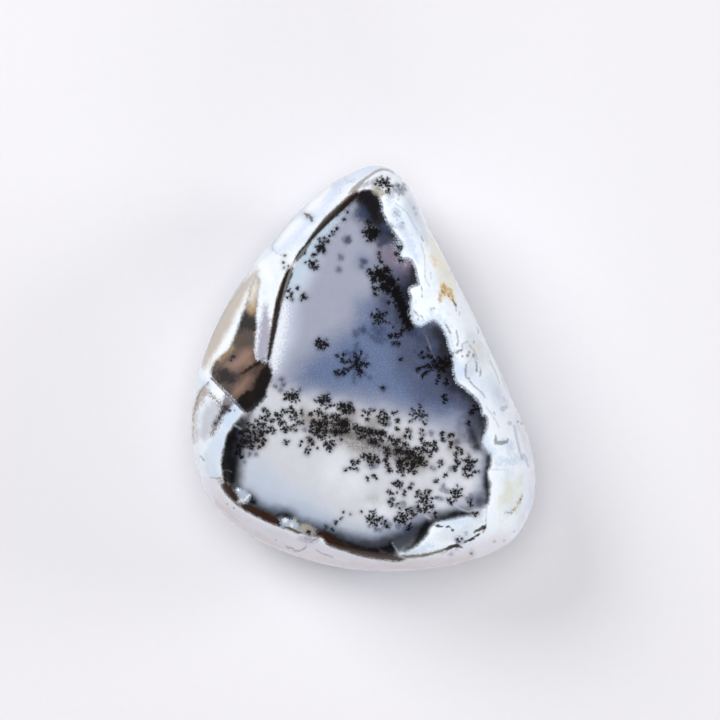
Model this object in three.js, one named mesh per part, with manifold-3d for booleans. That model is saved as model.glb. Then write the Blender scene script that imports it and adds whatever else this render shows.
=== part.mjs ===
import * as THREE from "three";
import Module from "manifold-3d";
import { mergeVertices } from "three/addons/utils/BufferGeometryUtils.js";

// A polished freeform of dendritic opal, lying on its back on a small flat spot. It is one piece of stone.
// Millimetres, +Z up. The origin is on the surface that the stone rests on, under the middle of its box.
// +Y runs to the stone's tip, and the polished face with the dendrites looks up.
//
// The form is a gauge: a function of a point that is 1 on the surface and grows evenly from the stone's heart.
// The girdle wall, the domed face, the bevel round the face, the domed back and its broad flats are a gauge each,
// and they are blended, so that a high crispness leaves an edge where two meet and a low one rounds it off.

// Driving dimensions
const HEART = { x: -0.5, y: -3.8 }; // the middle of the form in plan
const FACE_HEIGHT = 11.4; // the top of the face above the girdle, the level where the stone is widest
const BACK_DEPTH = 10.8; // the lowest point of the back under the girdle, before the flat spot is ground
const GROUND_OFF = 0.15; // taken off the back by the flat spot
const FACE_DOME = { halfWidth: 26.5, halfLength: 34.5, squareness: 2.6 };
const BACK_DOME = { halfWidth: 26, halfLength: 34, squareness: 2.15 };

// The outline from above, from the tip round the right side, the base and the left side.
const OUTLINE = [
  [1.5, 26.5],
  [3.4, 26.0],
  [4.7, 25.0],
  [6.3, 23.1],
  [8.8, 17.8],
  [12.4, 11.0],
  [16.1, 3.5],
  [19.3, -3.5],
  [21.8, -9.4],
  [22.6, -13.6],
  [22.3, -17.2],
  [21.2, -20.1],
  [19.3, -22.5],
  [16.4, -24.2],
  [12.1, -25.5],
  [7.0, -26.3],
  [1.5, -26.5],
  [-4.0, -26.0],
  [-9.5, -24.4],
  [-14.6, -22.0],
  [-18.7, -18.6],
  [-21.3, -14.4],
  [-22.5, -9.4],
  [-22.4, -4.8],
  [-21.1, 1.0],
  [-19.0, 6.2],
  [-16.4, 10.8],
  [-13.0, 15.4],
  [-9.2, 19.9],
  [-5.5, 23.5],
  [-2.4, 25.3],
  [-0.2, 26.2],
];

// The edge of the face, where its bevel starts. foot is how far above the girdle the bevel ends, and crisp how
// sharp the edge is: the left side is cut in broad flats, and the right side is rolled over.
const FACE_EDGE = [
  { x: 2.6, y: 25.7, foot: 2.5, crisp: 30 },
  { x: -0.8, y: 23.8, foot: 0.5, crisp: 55 },
  { x: -5.2, y: 19.3, foot: 0.5, crisp: 60 },
  { x: -9.2, y: 14.2, foot: 0.5, crisp: 50 },
  { x: -11.0, y: 9.0, foot: 0.5, crisp: 36 },
  { x: -12.2, y: 4.0, foot: 0.5, crisp: 30 },
  { x: -13.6, y: -0.4, foot: 0.8, crisp: 26 },
  { x: -15.8, y: -4.6, foot: 1.2, crisp: 26 },
  { x: -17.9, y: -8.8, foot: 1.6, crisp: 28 },
  { x: -18.9, y: -12.9, foot: 2.4, crisp: 30 },
  { x: -18.0, y: -16.4, foot: 3, crisp: 34 },
  { x: -15.1, y: -18.9, foot: 2.5, crisp: 34 },
  { x: -11.0, y: -20.9, foot: 2.5, crisp: 34 },
  { x: -5.9, y: -22.8, foot: 3, crisp: 32 },
  { x: -0.2, y: -24.4, foot: 4, crisp: 30 },
  { x: 5.8, y: -25.1, foot: 4.5, crisp: 26 },
  { x: 11.4, y: -24.2, foot: 4, crisp: 22 },
  { x: 16.6, y: -22.2, foot: 4, crisp: 18 },
  { x: 19.7, y: -18.9, foot: 4, crisp: 16 },
  { x: 20.6, y: -13.4, foot: 4, crisp: 14 },
  { x: 19.0, y: -6.3, foot: 3.5, crisp: 12 },
  { x: 15.6, y: 1.6, foot: 3, crisp: 12 },
  { x: 12.0, y: 9.0, foot: 3, crisp: 12 },
  { x: 8.2, y: 17.0, foot: 3, crisp: 14 },
  { x: 5.0, y: 23.6, foot: 3, crisp: 20 },
];
const GIRDLE_CRISPNESS = { left: 9, right: 5 }; // how tightly the girdle turns into the bevel and the back
const LEFT_SIDE = THREE.MathUtils.degToRad(175); // the way from the heart to where the girdle is tightest

// Broad flats left on the back by the grinding: the way each one looks in plan, how far it leans from the
// level towards the girdle, and how far it lies from the heart.
const BACK_FLATS = [
  { towards: 158, lean: 52, reach: 16.2 },
  { towards: 40, lean: 50, reach: 15.2 },
  { towards: -62, lean: 48, reach: 17.2 },
  { towards: -140, lean: 40, reach: 15.4 },
];
const BACK_CRISPNESS = 16;

// Fineness of the faceted solid
const COLUMNS = 112;
const TIP_ANGLE = Math.PI / 2; // the columns gather there, where the outline turns tightest
const GATHER = 0.45; // how much closer than the mean they stand
const ROWS = { face: 9, bevel: 6, back: 15 };
const EDGE_BAND = THREE.MathUtils.degToRad(4); // between the rows on both sides of the face's edge
const WIDTH_TESTS = 60; // latitudes of a column that are tried for its widest one

const FULL_TURN = 2 * Math.PI;

// A smooth closed function through [angle, value] knots: a periodic cubic with each knot's slope from its neighbours.
function around(knots) {
  const sorted = knots
    .map(([angle, value]) => [THREE.MathUtils.euclideanModulo(angle, FULL_TURN), value])
    .sort((p, q) => p[0] - q[0]);
  const count = sorted.length;
  const knot = (i) => {
    const turns = Math.floor(i / count);
    const [angle, value] = sorted[i - turns * count];
    return [angle + turns * FULL_TURN, value];
  };
  const slope = (i) => (knot(i + 1)[1] - knot(i - 1)[1]) / (knot(i + 1)[0] - knot(i - 1)[0]);
  return (angle) => {
    const turned = THREE.MathUtils.euclideanModulo(angle, FULL_TURN);
    const next = sorted.findIndex(([knotAngle]) => knotAngle > turned);
    const i = next < 0 ? count - 1 : next - 1;
    const [from, start] = knot(i);
    const [to, end] = knot(i + 1);
    const span = to - from;
    const t = (turned - from) / span;
    return (
      (1 + 2 * t) * (1 - t) ** 2 * start +
      t * (1 - t) ** 2 * span * slope(i) +
      t ** 2 * (3 - 2 * t) * end +
      t ** 2 * (t - 1) * span * slope(i + 1)
    );
  };
}

const angleOf = (x, y) => Math.atan2(y - HEART.y, x - HEART.x);
const reachOf = (x, y) => Math.hypot(x - HEART.x, y - HEART.y);
const alongEdge = (value) => around(FACE_EDGE.map((point) => [angleOf(point.x, point.y), value(point)]));

const outlineRadius = around(OUTLINE.map(([x, y]) => [angleOf(x, y), reachOf(x, y)]));
const edgeRadius = alongEdge((point) => reachOf(point.x, point.y));
const edgeFoot = alongEdge((point) => point.foot);
const edgeCrispness = alongEdge((point) => point.crisp);

// Joins gauges. The surfaces meet in an edge whose sharpness grows with the crispness.
function blend(crispness, gauges) {
  const sum = gauges.reduce((total, gauge) => total + Math.max(gauge, 0) ** crispness, 0);
  return sum ** (1 / crispness);
}

const domeGauge = (dome, x, y, rise) =>
  blend(dome.squareness, [Math.abs(x) / dome.halfWidth, Math.abs(y) / dome.halfLength, rise]);

// The height of the face above the girdle at a reach from the heart.
function faceHeight(angle, reach) {
  const across = Math.abs(reach * Math.cos(angle)) / FACE_DOME.halfWidth;
  const along = Math.abs(reach * Math.sin(angle)) / FACE_DOME.halfLength;
  const left = 1 - across ** FACE_DOME.squareness - along ** FACE_DOME.squareness;
  return FACE_HEIGHT * left ** (1 / FACE_DOME.squareness);
}

function backFlatGauge({ towards, lean, reach }, x, y, z) {
  const way = THREE.MathUtils.degToRad(towards);
  const tilt = THREE.MathUtils.degToRad(lean);
  const outwards = x * Math.cos(way) + y * Math.sin(way);
  return (outwards * Math.sin(tilt) - z * Math.cos(tilt)) / reach;
}

// One upright half plane through the heart: what the form needs to know in that direction. The bevel runs from
// the face's edge to its foot on the girdle wall, as the line slope * reach + rise * z = 1. swell is how much wider
// the column is made in the end, for its widest point to lie on the outline.
function columnAt(angle, swell) {
  const wall = outlineRadius(angle);
  const edge = edgeRadius(angle) / swell;
  const edgeHeight = faceHeight(angle, edge);
  const foot = edgeFoot(angle);
  const spread = edge * foot - edgeHeight * wall;
  const leftness = (1 + Math.cos(angle - LEFT_SIDE)) / 2;
  return {
    angle,
    wall,
    edge,
    edgeHeight,
    bevelSlope: (foot - edgeHeight) / spread,
    bevelRise: (edge - wall) / spread,
    edgeCrisp: edgeCrispness(angle),
    girdleCrisp: THREE.MathUtils.lerp(GIRDLE_CRISPNESS.right, GIRDLE_CRISPNESS.left, leftness),
  };
}

// The stone's gauge at a reach and a height from the heart, in a column.
function stoneGauge(column, reach, z) {
  const x = reach * Math.cos(column.angle);
  const y = reach * Math.sin(column.angle);
  const face = blend(column.edgeCrisp, [
    domeGauge(FACE_DOME, x, y, Math.max(z, 0) / FACE_HEIGHT),
    column.bevelSlope * reach + column.bevelRise * z,
  ]);
  const back = blend(BACK_CRISPNESS, [
    domeGauge(BACK_DOME, x, y, Math.max(-z, 0) / BACK_DEPTH),
    ...BACK_FLATS.map((flat) => backFlatGauge(flat, x, y, z)),
  ]);
  return blend(column.girdleCrisp, [reach / column.wall, face, back]);
}

// The surface point of a column at a latitude: 90 degrees is the top of the face, 0 the girdle, -90 the back.
function surfacePoint(column, latitude) {
  const depth = latitude > 0 ? FACE_HEIGHT : BACK_DEPTH;
  const reach = column.wall * Math.cos(latitude);
  const z = depth * Math.sin(latitude);
  const gauge = stoneGauge(column, reach, z);
  return { reach: reach / gauge, z: z / gauge };
}

// The latitude at which a column is widest, and its reach there.
function widestOf(column) {
  const half = Math.PI / 4;
  let widest = { latitude: 0, reach: 0 };
  for (let i = 0; i <= WIDTH_TESTS; i++) {
    const latitude = THREE.MathUtils.lerp(-half, half, i / WIDTH_TESTS);
    const { reach } = surfacePoint(column, latitude);
    if (reach > widest.reach) widest = { latitude, reach };
  }
  return widest;
}

// The latitudes of a column's rows, from under the top of the face to above the bottom of the back. They gather
// at the face's edge, so that the facets there follow it, and one of them is the girdle.
function rowLatitudes(column, girdle) {
  const edge = Math.atan2(column.edgeHeight / FACE_HEIGHT, column.edge / column.wall);
  const steps = (from, to, count) =>
    Array.from({ length: count }, (_, i) => from + ((to - from) * (i + 1)) / count);
  return [
    ...steps(Math.PI / 2, edge + EDGE_BAND, ROWS.face),
    edge,
    edge - EDGE_BAND,
    ...steps(edge - EDGE_BAND, girdle, ROWS.bevel),
    ...steps(girdle, -Math.PI / 2, ROWS.back).slice(0, -1),
  ];
}

// The closed surface of the stone before the flat spot is ground.
function roundedStoneGeometry() {
  const positions = [HEART.x, HEART.y, FACE_HEIGHT];
  let rows = 0;
  for (let i = 0; i < COLUMNS; i++) {
    const turn = (FULL_TURN * i) / COLUMNS;
    const angle = TIP_ANGLE + turn - GATHER * Math.sin(turn);
    const swell = outlineRadius(angle) / widestOf(columnAt(angle, 1)).reach;
    const column = columnAt(angle, swell);
    const girdle = widestOf(column);
    const latitudes = rowLatitudes(column, girdle.latitude);
    rows = latitudes.length;
    for (const latitude of latitudes) {
      const { reach, z } = surfacePoint(column, latitude);
      const wide = (reach * column.wall) / girdle.reach;
      positions.push(HEART.x + wide * Math.cos(angle), HEART.y + wide * Math.sin(angle), z);
    }
  }
  positions.push(HEART.x, HEART.y, -BACK_DEPTH);

  const top = 0;
  const bottom = 1 + COLUMNS * rows;
  const vertex = (column, row) => 1 + (column % COLUMNS) * rows + row;
  const triangles = [];
  for (let i = 0; i < COLUMNS; i++) {
    triangles.push(top, vertex(i, 0), vertex(i + 1, 0));
    for (let row = 0; row + 1 < rows; row++) {
      const [a, b] = [vertex(i, row), vertex(i + 1, row)];
      const [c, d] = [vertex(i, row + 1), vertex(i + 1, row + 1)];
      triangles.push(a, c, d, a, d, b);
    }
    triangles.push(vertex(i, rows - 1), bottom, vertex(i + 1, rows - 1));
  }
  const geometry = new THREE.BufferGeometry();
  geometry.setAttribute("position", new THREE.Float32BufferAttribute(positions, 3));
  geometry.setIndex(triangles);
  return geometry;
}

const wasm = await Module();
wasm.setup();

function toSolid(geometry) {
  const bare = new THREE.BufferGeometry();
  bare.setAttribute("position", geometry.getAttribute("position"));
  bare.setIndex(geometry.index);
  const merged = mergeVertices(bare);
  return new wasm.Manifold(
    new wasm.Mesh({
      numProp: 3,
      vertProperties: new Float32Array(merged.getAttribute("position").array),
      triVerts: new Uint32Array(merged.index.array),
    }),
  );
}

function toGeometry(solid) {
  const { vertProperties, triVerts } = solid.getMesh();
  const geometry = new THREE.BufferGeometry();
  geometry.setAttribute("position", new THREE.BufferAttribute(vertProperties, 3));
  geometry.setIndex(new THREE.BufferAttribute(triVerts, 1));
  geometry.computeVertexNormals();
  return geometry;
}

// What the grinding of the flat spot takes away: a block as wide as twice the stone, under the flat.
function groundOffBlock() {
  const side = 100;
  const thickness = 10;
  const top = -BACK_DEPTH + GROUND_OFF;
  return new THREE.BoxGeometry(side, side, thickness).translate(0, 0, top - thickness / 2);
}

const stoneGeometry = toGeometry(toSolid(roundedStoneGeometry()).subtract(toSolid(groundOffBlock())));
const opal = new THREE.MeshStandardMaterial({ color: 0xc9d2e0, roughness: 0.12, metalness: 0 });
const stone = new THREE.Mesh(stoneGeometry, opal);
stone.name = "dendritic_opal";
stone.position.z = BACK_DEPTH - GROUND_OFF;

const part = new THREE.Group();
part.add(stone);

export default part;
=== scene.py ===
import math
import random

import bpy
import numpy as np
from bpy.props import FloatProperty, FloatVectorProperty, IntProperty, PointerProperty
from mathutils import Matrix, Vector


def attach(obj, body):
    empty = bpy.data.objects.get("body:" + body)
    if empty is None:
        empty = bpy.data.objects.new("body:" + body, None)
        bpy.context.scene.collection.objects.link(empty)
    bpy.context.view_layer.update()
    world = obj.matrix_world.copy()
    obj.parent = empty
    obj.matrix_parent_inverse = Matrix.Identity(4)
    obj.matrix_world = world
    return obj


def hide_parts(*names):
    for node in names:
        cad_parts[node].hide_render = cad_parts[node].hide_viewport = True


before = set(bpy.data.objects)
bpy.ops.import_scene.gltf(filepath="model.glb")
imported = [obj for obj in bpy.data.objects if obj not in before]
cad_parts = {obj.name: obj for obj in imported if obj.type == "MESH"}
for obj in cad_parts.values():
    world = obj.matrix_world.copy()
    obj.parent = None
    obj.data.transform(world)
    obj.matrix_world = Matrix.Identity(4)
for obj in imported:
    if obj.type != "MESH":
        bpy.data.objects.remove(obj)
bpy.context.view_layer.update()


bl_info = {
    "name": "Dendritic opal freeform",
    "version": (1, 0, 0),
    "blender": (4, 5, 0),
    "location": "3D View > Sidebar > Opal",
    "description": "Builds a polished freeform of dendritic opal, with the stage that it lies on",
    "category": "Add Mesh",
}

# Lengths are millimetres until a mesh is made, where they become Blender's metres.
MM = 0.001

# The stone's form, as in the CAD model
# It is a gauge: 1 on the surface, and growing evenly from the heart. Wall, dome, bevel, back and
# flats are a gauge each. A high crispness leaves an edge where two of them meet, and a low one rounds it.
HEART = (-0.5, -3.8)
FACE_HEIGHT = 11.4
BACK_DEPTH = 10.8
GROUND_OFF = 0.15
REST_HEIGHT = BACK_DEPTH - GROUND_OFF  # of the girdle above what the stone lies on
FACE_DOME = {"half_width": 26.5, "half_length": 34.5, "squareness": 2.6}
BACK_DOME = {"half_width": 26.0, "half_length": 34.0, "squareness": 2.15}
OUTLINE = (
    (1.5, 26.5), (3.4, 26.0), (4.7, 25.0), (6.3, 23.1), (8.8, 17.8), (12.4, 11.0), (16.1, 3.5),
    (19.3, -3.5), (21.8, -9.4), (22.6, -13.6), (22.3, -17.2), (21.2, -20.1), (19.3, -22.5),
    (16.4, -24.2), (12.1, -25.5), (7.0, -26.3), (1.5, -26.5), (-4.0, -26.0), (-9.5, -24.4),
    (-14.6, -22.0), (-18.7, -18.6), (-21.3, -14.4), (-22.5, -9.4), (-22.4, -4.8), (-21.1, 1.0),
    (-19.0, 6.2), (-16.4, 10.8), (-13.0, 15.4), (-9.2, 19.9), (-5.5, 23.5), (-2.4, 25.3),
    (-0.2, 26.2),
)
# The face's edge: its place, how high over the girdle its bevel ends, and how crisp it is
FACE_EDGE = (
    (2.6, 25.7, 2.5, 30), (-0.8, 23.8, 0.5, 55), (-5.2, 19.3, 0.5, 60), (-9.2, 14.2, 0.5, 50),
    (-11.0, 9.0, 0.5, 36), (-12.2, 4.0, 0.5, 30), (-13.6, -0.4, 0.8, 26), (-15.8, -4.6, 1.2, 26),
    (-17.9, -8.8, 1.6, 28), (-18.9, -12.9, 2.4, 30), (-18.0, -16.4, 3.0, 34),
    (-15.1, -18.9, 2.5, 34), (-11.0, -20.9, 2.5, 34), (-5.9, -22.8, 3.0, 32),
    (-0.2, -24.4, 4.0, 30), (5.8, -25.1, 4.5, 26), (11.4, -24.2, 4.0, 22), (16.6, -22.2, 4.0, 18),
    (19.7, -18.9, 4.0, 16), (20.6, -13.4, 4.0, 14), (19.0, -6.3, 3.5, 12), (15.6, 1.6, 3.0, 12),
    (12.0, 9.0, 3.0, 12), (8.2, 17.0, 3.0, 14), (5.0, 23.6, 3.0, 20),
)
GIRDLE_CRISPNESS = {"left": 9.0, "right": 5.0}
LEFT_SIDE = math.radians(175)
# Flats on the back: the way each looks in plan, its lean from the level, its distance from the heart
BACK_FLATS = ((158, 52, 16.2), (40, 50, 15.2), (-62, 48, 17.2), (-140, 40, 15.4))
BACK_CRISPNESS = 16
NORMAL_STEP = 0.0015  # how far to either side of a direction its normal is measured
COLUMN_COUNT = 720
WIDTH_TESTS = 60

# The eye stands over the stone, and paint is laid out as it is seen from there.
EYE_PLACE = (-0.44, 1.10)
EYE_DISTANCE = 500.0  # above the girdle
FRAME_WIDTH = 94.5  # what the picture shows of the girdle's level
SENSOR_WIDTH = 36.0


class Ring:
    """Values round the stone: a periodic cubic through knots, with slopes from the neighbours."""

    def __init__(self, angles, values):
        angles = np.mod(np.asarray(angles, float), 2 * np.pi)
        order = np.argsort(angles)
        angles = angles[order]
        values = np.asarray(values, float)[order]
        turn = 2 * np.pi
        self.angles = np.concatenate([angles[-2:] - turn, angles, angles[:3] + turn])
        self.values = np.concatenate([values[-2:], values, values[:3]])

    def __call__(self, angle):
        turned = np.mod(angle, 2 * np.pi)
        last = len(self.angles) - 3
        i = np.clip(np.searchsorted(self.angles, turned, side="right") - 1, 1, last)
        x, y = self.angles, self.values
        several = y.ndim > 1
        wide = (lambda a: a[..., None]) if several else (lambda a: a)
        slope_from = (y[i + 1] - y[i - 1]) / wide(x[i + 1] - x[i - 1])
        slope_to = (y[i + 2] - y[i]) / wide(x[i + 2] - x[i])
        span = wide(x[i + 1] - x[i])
        t = wide(turned - x[i]) / span
        return (
            (1 + 2 * t) * (1 - t) ** 2 * y[i]
            + t * (1 - t) ** 2 * span * slope_from
            + t**2 * (3 - 2 * t) * y[i + 1]
            + t**2 * (t - 1) * span * slope_to
        )


def polar(points):
    """The angles and reaches of plan points about the heart."""
    plan = np.array([point[:2] for point in points]) - HEART
    return np.arctan2(plan[:, 1], plan[:, 0]), np.hypot(plan[:, 0], plan[:, 1])


def blend(crispness, gauges):
    total = sum(np.maximum(gauge, 0) ** crispness for gauge in gauges)
    return total ** (1 / crispness)


def dome_gauge(dome, x, y, rise):
    across = np.abs(x) / dome["half_width"]
    along = np.abs(y) / dome["half_length"]
    return blend(dome["squareness"], [across, along, rise])


def face_height(angle, reach):
    power = FACE_DOME["squareness"]
    across = np.abs(reach * np.cos(angle)) / FACE_DOME["half_width"]
    along = np.abs(reach * np.sin(angle)) / FACE_DOME["half_length"]
    return FACE_HEIGHT * (1 - across**power - along**power) ** (1 / power)


def back_flat_gauge(flat, x, y, z):
    way, tilt = math.radians(flat[0]), math.radians(flat[1])
    outwards = x * math.cos(way) + y * math.sin(way)
    return (outwards * math.sin(tilt) - z * math.cos(tilt)) / flat[2]


WALL = Ring(*polar(OUTLINE))
EDGE_ANGLES, EDGE_REACHES = polar(FACE_EDGE)
EDGE = Ring(EDGE_ANGLES, EDGE_REACHES)
EDGE_FOOT = Ring(EDGE_ANGLES, [point[2] for point in FACE_EDGE])
EDGE_CRISP = Ring(EDGE_ANGLES, [point[3] for point in FACE_EDGE])


def column_at(angle, swell):
    """What the form needs to know in one upright half plane through the heart, for many angles."""
    wall = WALL(angle)
    edge = EDGE(angle) / swell
    height = face_height(angle, edge)
    foot = EDGE_FOOT(angle)
    spread = edge * foot - height * wall
    leftness = (1 + np.cos(angle - LEFT_SIDE)) / 2
    right, left = GIRDLE_CRISPNESS["right"], GIRDLE_CRISPNESS["left"]
    return {
        "angle": angle,
        "wall": wall,
        "slope": (foot - height) / spread,
        "rise": (edge - wall) / spread,
        "edge_crisp": EDGE_CRISP(angle),
        "girdle_crisp": right + (left - right) * leftness,
    }


def stone_gauge(column, reach, z):
    x = reach * np.cos(column["angle"])
    y = reach * np.sin(column["angle"])
    bevel = column["slope"] * reach + column["rise"] * z
    dome = dome_gauge(FACE_DOME, x, y, np.maximum(z, 0) / FACE_HEIGHT)
    face = blend(column["edge_crisp"], [dome, bevel])
    flats = [back_flat_gauge(flat, x, y, z) for flat in BACK_FLATS]
    back_dome = dome_gauge(BACK_DOME, x, y, np.maximum(-z, 0) / BACK_DEPTH)
    back = blend(BACK_CRISPNESS, [back_dome, *flats])
    return blend(column["girdle_crisp"], [reach / column["wall"], face, back])


def surface_point(column, latitude):
    """The reach and height where a column's surface lies at a latitude."""
    depth = np.where(latitude > 0, FACE_HEIGHT, BACK_DEPTH)
    reach = column["wall"] * np.cos(latitude)
    z = depth * np.sin(latitude)
    gauge = stone_gauge(column, reach, z)
    return reach / gauge, z / gauge


def widest_reach(column):
    steps = np.linspace(-math.pi / 4, math.pi / 4, WIDTH_TESTS + 1)
    reaches = [surface_point(column, np.full_like(column["wall"], step))[0] for step in steps]
    return np.max(reaches, axis=0)


def widening_rings():
    """How much each column is widened for its widest point to lie on the outline, in two steps."""
    angles = np.linspace(0, 2 * np.pi, COLUMN_COUNT, endpoint=False)
    swell = WALL(angles) / widest_reach(column_at(angles, 1.0))
    column = column_at(angles, swell)
    widen = column["wall"] / widest_reach(column)
    return Ring(angles, np.stack([swell, widen], axis=1))


WIDENING = widening_rings()


def stone_surface(directions):
    """The points of the stone, in millimetres over the girdle, that lie in these directions."""
    angle = np.arctan2(directions[:, 1], directions[:, 0])
    latitude = np.arcsin(np.clip(directions[:, 2], -1, 1))
    swell, widen = WIDENING(angle).T
    reach, z = surface_point(column_at(angle, swell), latitude)
    wide = reach * widen
    x = HEART[0] + wide * np.cos(angle)
    y = HEART[1] + wide * np.sin(angle)
    return np.stack([x, y, np.maximum(z, -REST_HEIGHT)], axis=1)


def face_edge_gap(points):
    """How far points lie from the face's edge, measured in plan."""
    plan = points[:, :2] - HEART
    angle = np.arctan2(plan[:, 1], plan[:, 0])
    return np.abs(np.hypot(plan[:, 0], plan[:, 1]) - EDGE(angle))


def stone_normals(directions):
    """The surface's normals, from the differences between points close on either side."""
    helper = np.where(np.abs(directions[:, 2:3]) < 0.9, [[0.0, 0.0, 1.0]], [[1.0, 0.0, 0.0]])
    first = np.cross(directions, helper)
    first /= np.linalg.norm(first, axis=1, keepdims=True)
    second = np.cross(directions, first)
    spans = []
    for way in (first, second):
        ends = []
        for sign in (NORMAL_STEP, -NORMAL_STEP):
            moved = directions + sign * way
            ends.append(stone_surface(moved / np.linalg.norm(moved, axis=1, keepdims=True)))
        spans.append(ends[0] - ends[1])
    normals = np.cross(spans[0], spans[1])
    normals /= np.linalg.norm(normals, axis=1, keepdims=True)
    outwards = np.sum(normals * directions, axis=1, keepdims=True)
    return normals * np.sign(outwards)


# What is drawn in the stone, in millimetres, as seen from the eye: x to the right, y to the tip
# The clear window, from the tip down the rind on the right, along the base and up the left edge
WINDOW_RIGHT = (
    (-1.2, 23.2), (0.3, 23.35), (0.9, 23.4), (1.9, 23.1), (2.1, 22.2), (2.4, 21.5), (2.5, 20.5),
    (2.9, 19.8), (3.1, 19), (3.6, 18.2), (4.2, 17.6), (4.6, 17), (5, 16.6), (4.8, 16),
    (4.85, 15.5), (4.6, 14.8), (5.1, 14.3), (5.8, 14.5), (6.3, 14.2), (6.7, 13.5), (6.9, 12.7),
    (7, 12.2), (7.2, 11.5), (7.3, 11), (6.8, 10.9), (6, 10.6), (5.9, 10), (6.2, 9.5),
    (6.25, 9), (6.1, 8.5), (6.1, 8), (5.9, 7.5), (5.85, 7), (6.1, 6.4), (6.35, 6.1),
    (6.6, 5.7), (7.1, 5.5), (7.6, 5.6), (8.2, 5.9), (8.6, 6.1), (9.3, 6.4), (9.7, 6.1),
    (10.1, 5.7), (10.4, 5.2), (10.6, 4.8), (10.8, 4.3), (11, 3.8), (11.05, 3.3), (11.2, 2.8),
    (11.4, 2.4), (11.5, 2), (11.5, 1.4), (11.4, 1.2), (11.6, 0.9), (11.8, 0.4), (11.8, -0.5),
    (12, -1.2), (12.2, -1.8), (12.7, -2.2), (13.3, -2.6), (13.8, -3.1), (14.5, -3.7),
    (15, -4.2), (15.3, -4.8), (15.5, -5.5), (15.6, -6.1), (16.1, -6.3), (16.3, -6.8),
    (16.3, -7.5), (16.1, -8), (15.9, -8.5), (15.7, -9), (15.6, -9.7), (15.9, -10.2),
    (16.3, -10.7), (16.8, -11.3), (16.8, -12), (16.7, -12.8), (16.4, -13.3), (16.2, -13.6),
    (16.3, -14.2), (16.5, -14.8), (16.8, -15.2), (16.6, -15.6), (16.6, -16.5), (16.5, -17.2),
    (16.4, -17.8), (16.1, -18.1), (15.4, -18.6), (15.1, -19.1), (14.5, -19.5), (13.8, -19.4),
    (13, -19.5), (12.2, -19.7), (11.5, -19.85), (10.5, -19.95), (9.7, -20.1), (9.3, -20.3),
    (8.9, -20.7), (8.65, -21.1), (8.5, -21.7), (8.1, -22.2), (7.6, -22.8), (7.2, -23.2),
    (6.4, -23.7), (5.7, -24.1), (5, -24.05), (4.7, -24.2), (4.6, -24.6), (5.2, -24.9),
)
WINDOW_BASE = (
    (5.6, -25.1), (5, -25.3), (4, -25.35), (3, -25.2), (2, -25.05), (1, -24.9),
    (0, -24.7), (-1.5, -24.25), (-2.5, -23.9), (-3.5, -23.6), (-4.3, -23.3), (-4.9, -22.9),
    (-5.2, -22.3), (-5.6, -22.05), (-6.3, -22), (-7, -22.15), (-8.05, -21.65), (-8.7, -21.7),
    (-9.5, -21.35), (-10.5, -20.95), (-11, -20.75), (-12, -20.35), (-13, -19.95),
    (-14, -19.4), (-15, -18.95), (-16, -18.3), (-16.8, -17.7), (-17.4, -17.1),
    (-18, -16.5), (-18.5, -15.8), (-18.7, -15.2), (-18.3, -14.9), (-18.3, -14.5),
)
WINDOW_LEFT = (
    (-18.5, -14), (-18.55, -13.3), (-18.65, -12.5), (-18.6, -11.6), (-18.4, -10.8),
    (-18.1, -9.8), (-18, -9.2), (-17.7, -8.5), (-17, -7.4), (-16.3, -6.5), (-15.7, -5.7),
    (-15, -5.9), (-14, -5.2), (-13.3, -4.4), (-12.6, -3.6), (-12.7, -2.9), (-12.3, -2),
    (-11.9, -1), (-12.2, -0.4), (-12.5, 0.8), (-12.5, 1.6), (-12.3, 2.2), (-12.2, 3.2),
    (-12, 4), (-11.7, 5), (-11.4, 6.5), (-11.1, 8), (-10.8, 9.2), (-10.4, 10.3),
    (-10.1, 11.5), (-9.7, 12.4), (-9.4, 13.3), (-8.7, 14.4), (-8.1, 15.3), (-7.5, 16.1),
    (-6.8, 17), (-6, 18.2), (-5.2, 19.1), (-4.3, 20), (-3, 21.2), (-1.6, 22.7),
)
WINDOW = WINDOW_RIGHT + WINDOW_BASE + WINDOW_LEFT

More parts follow.
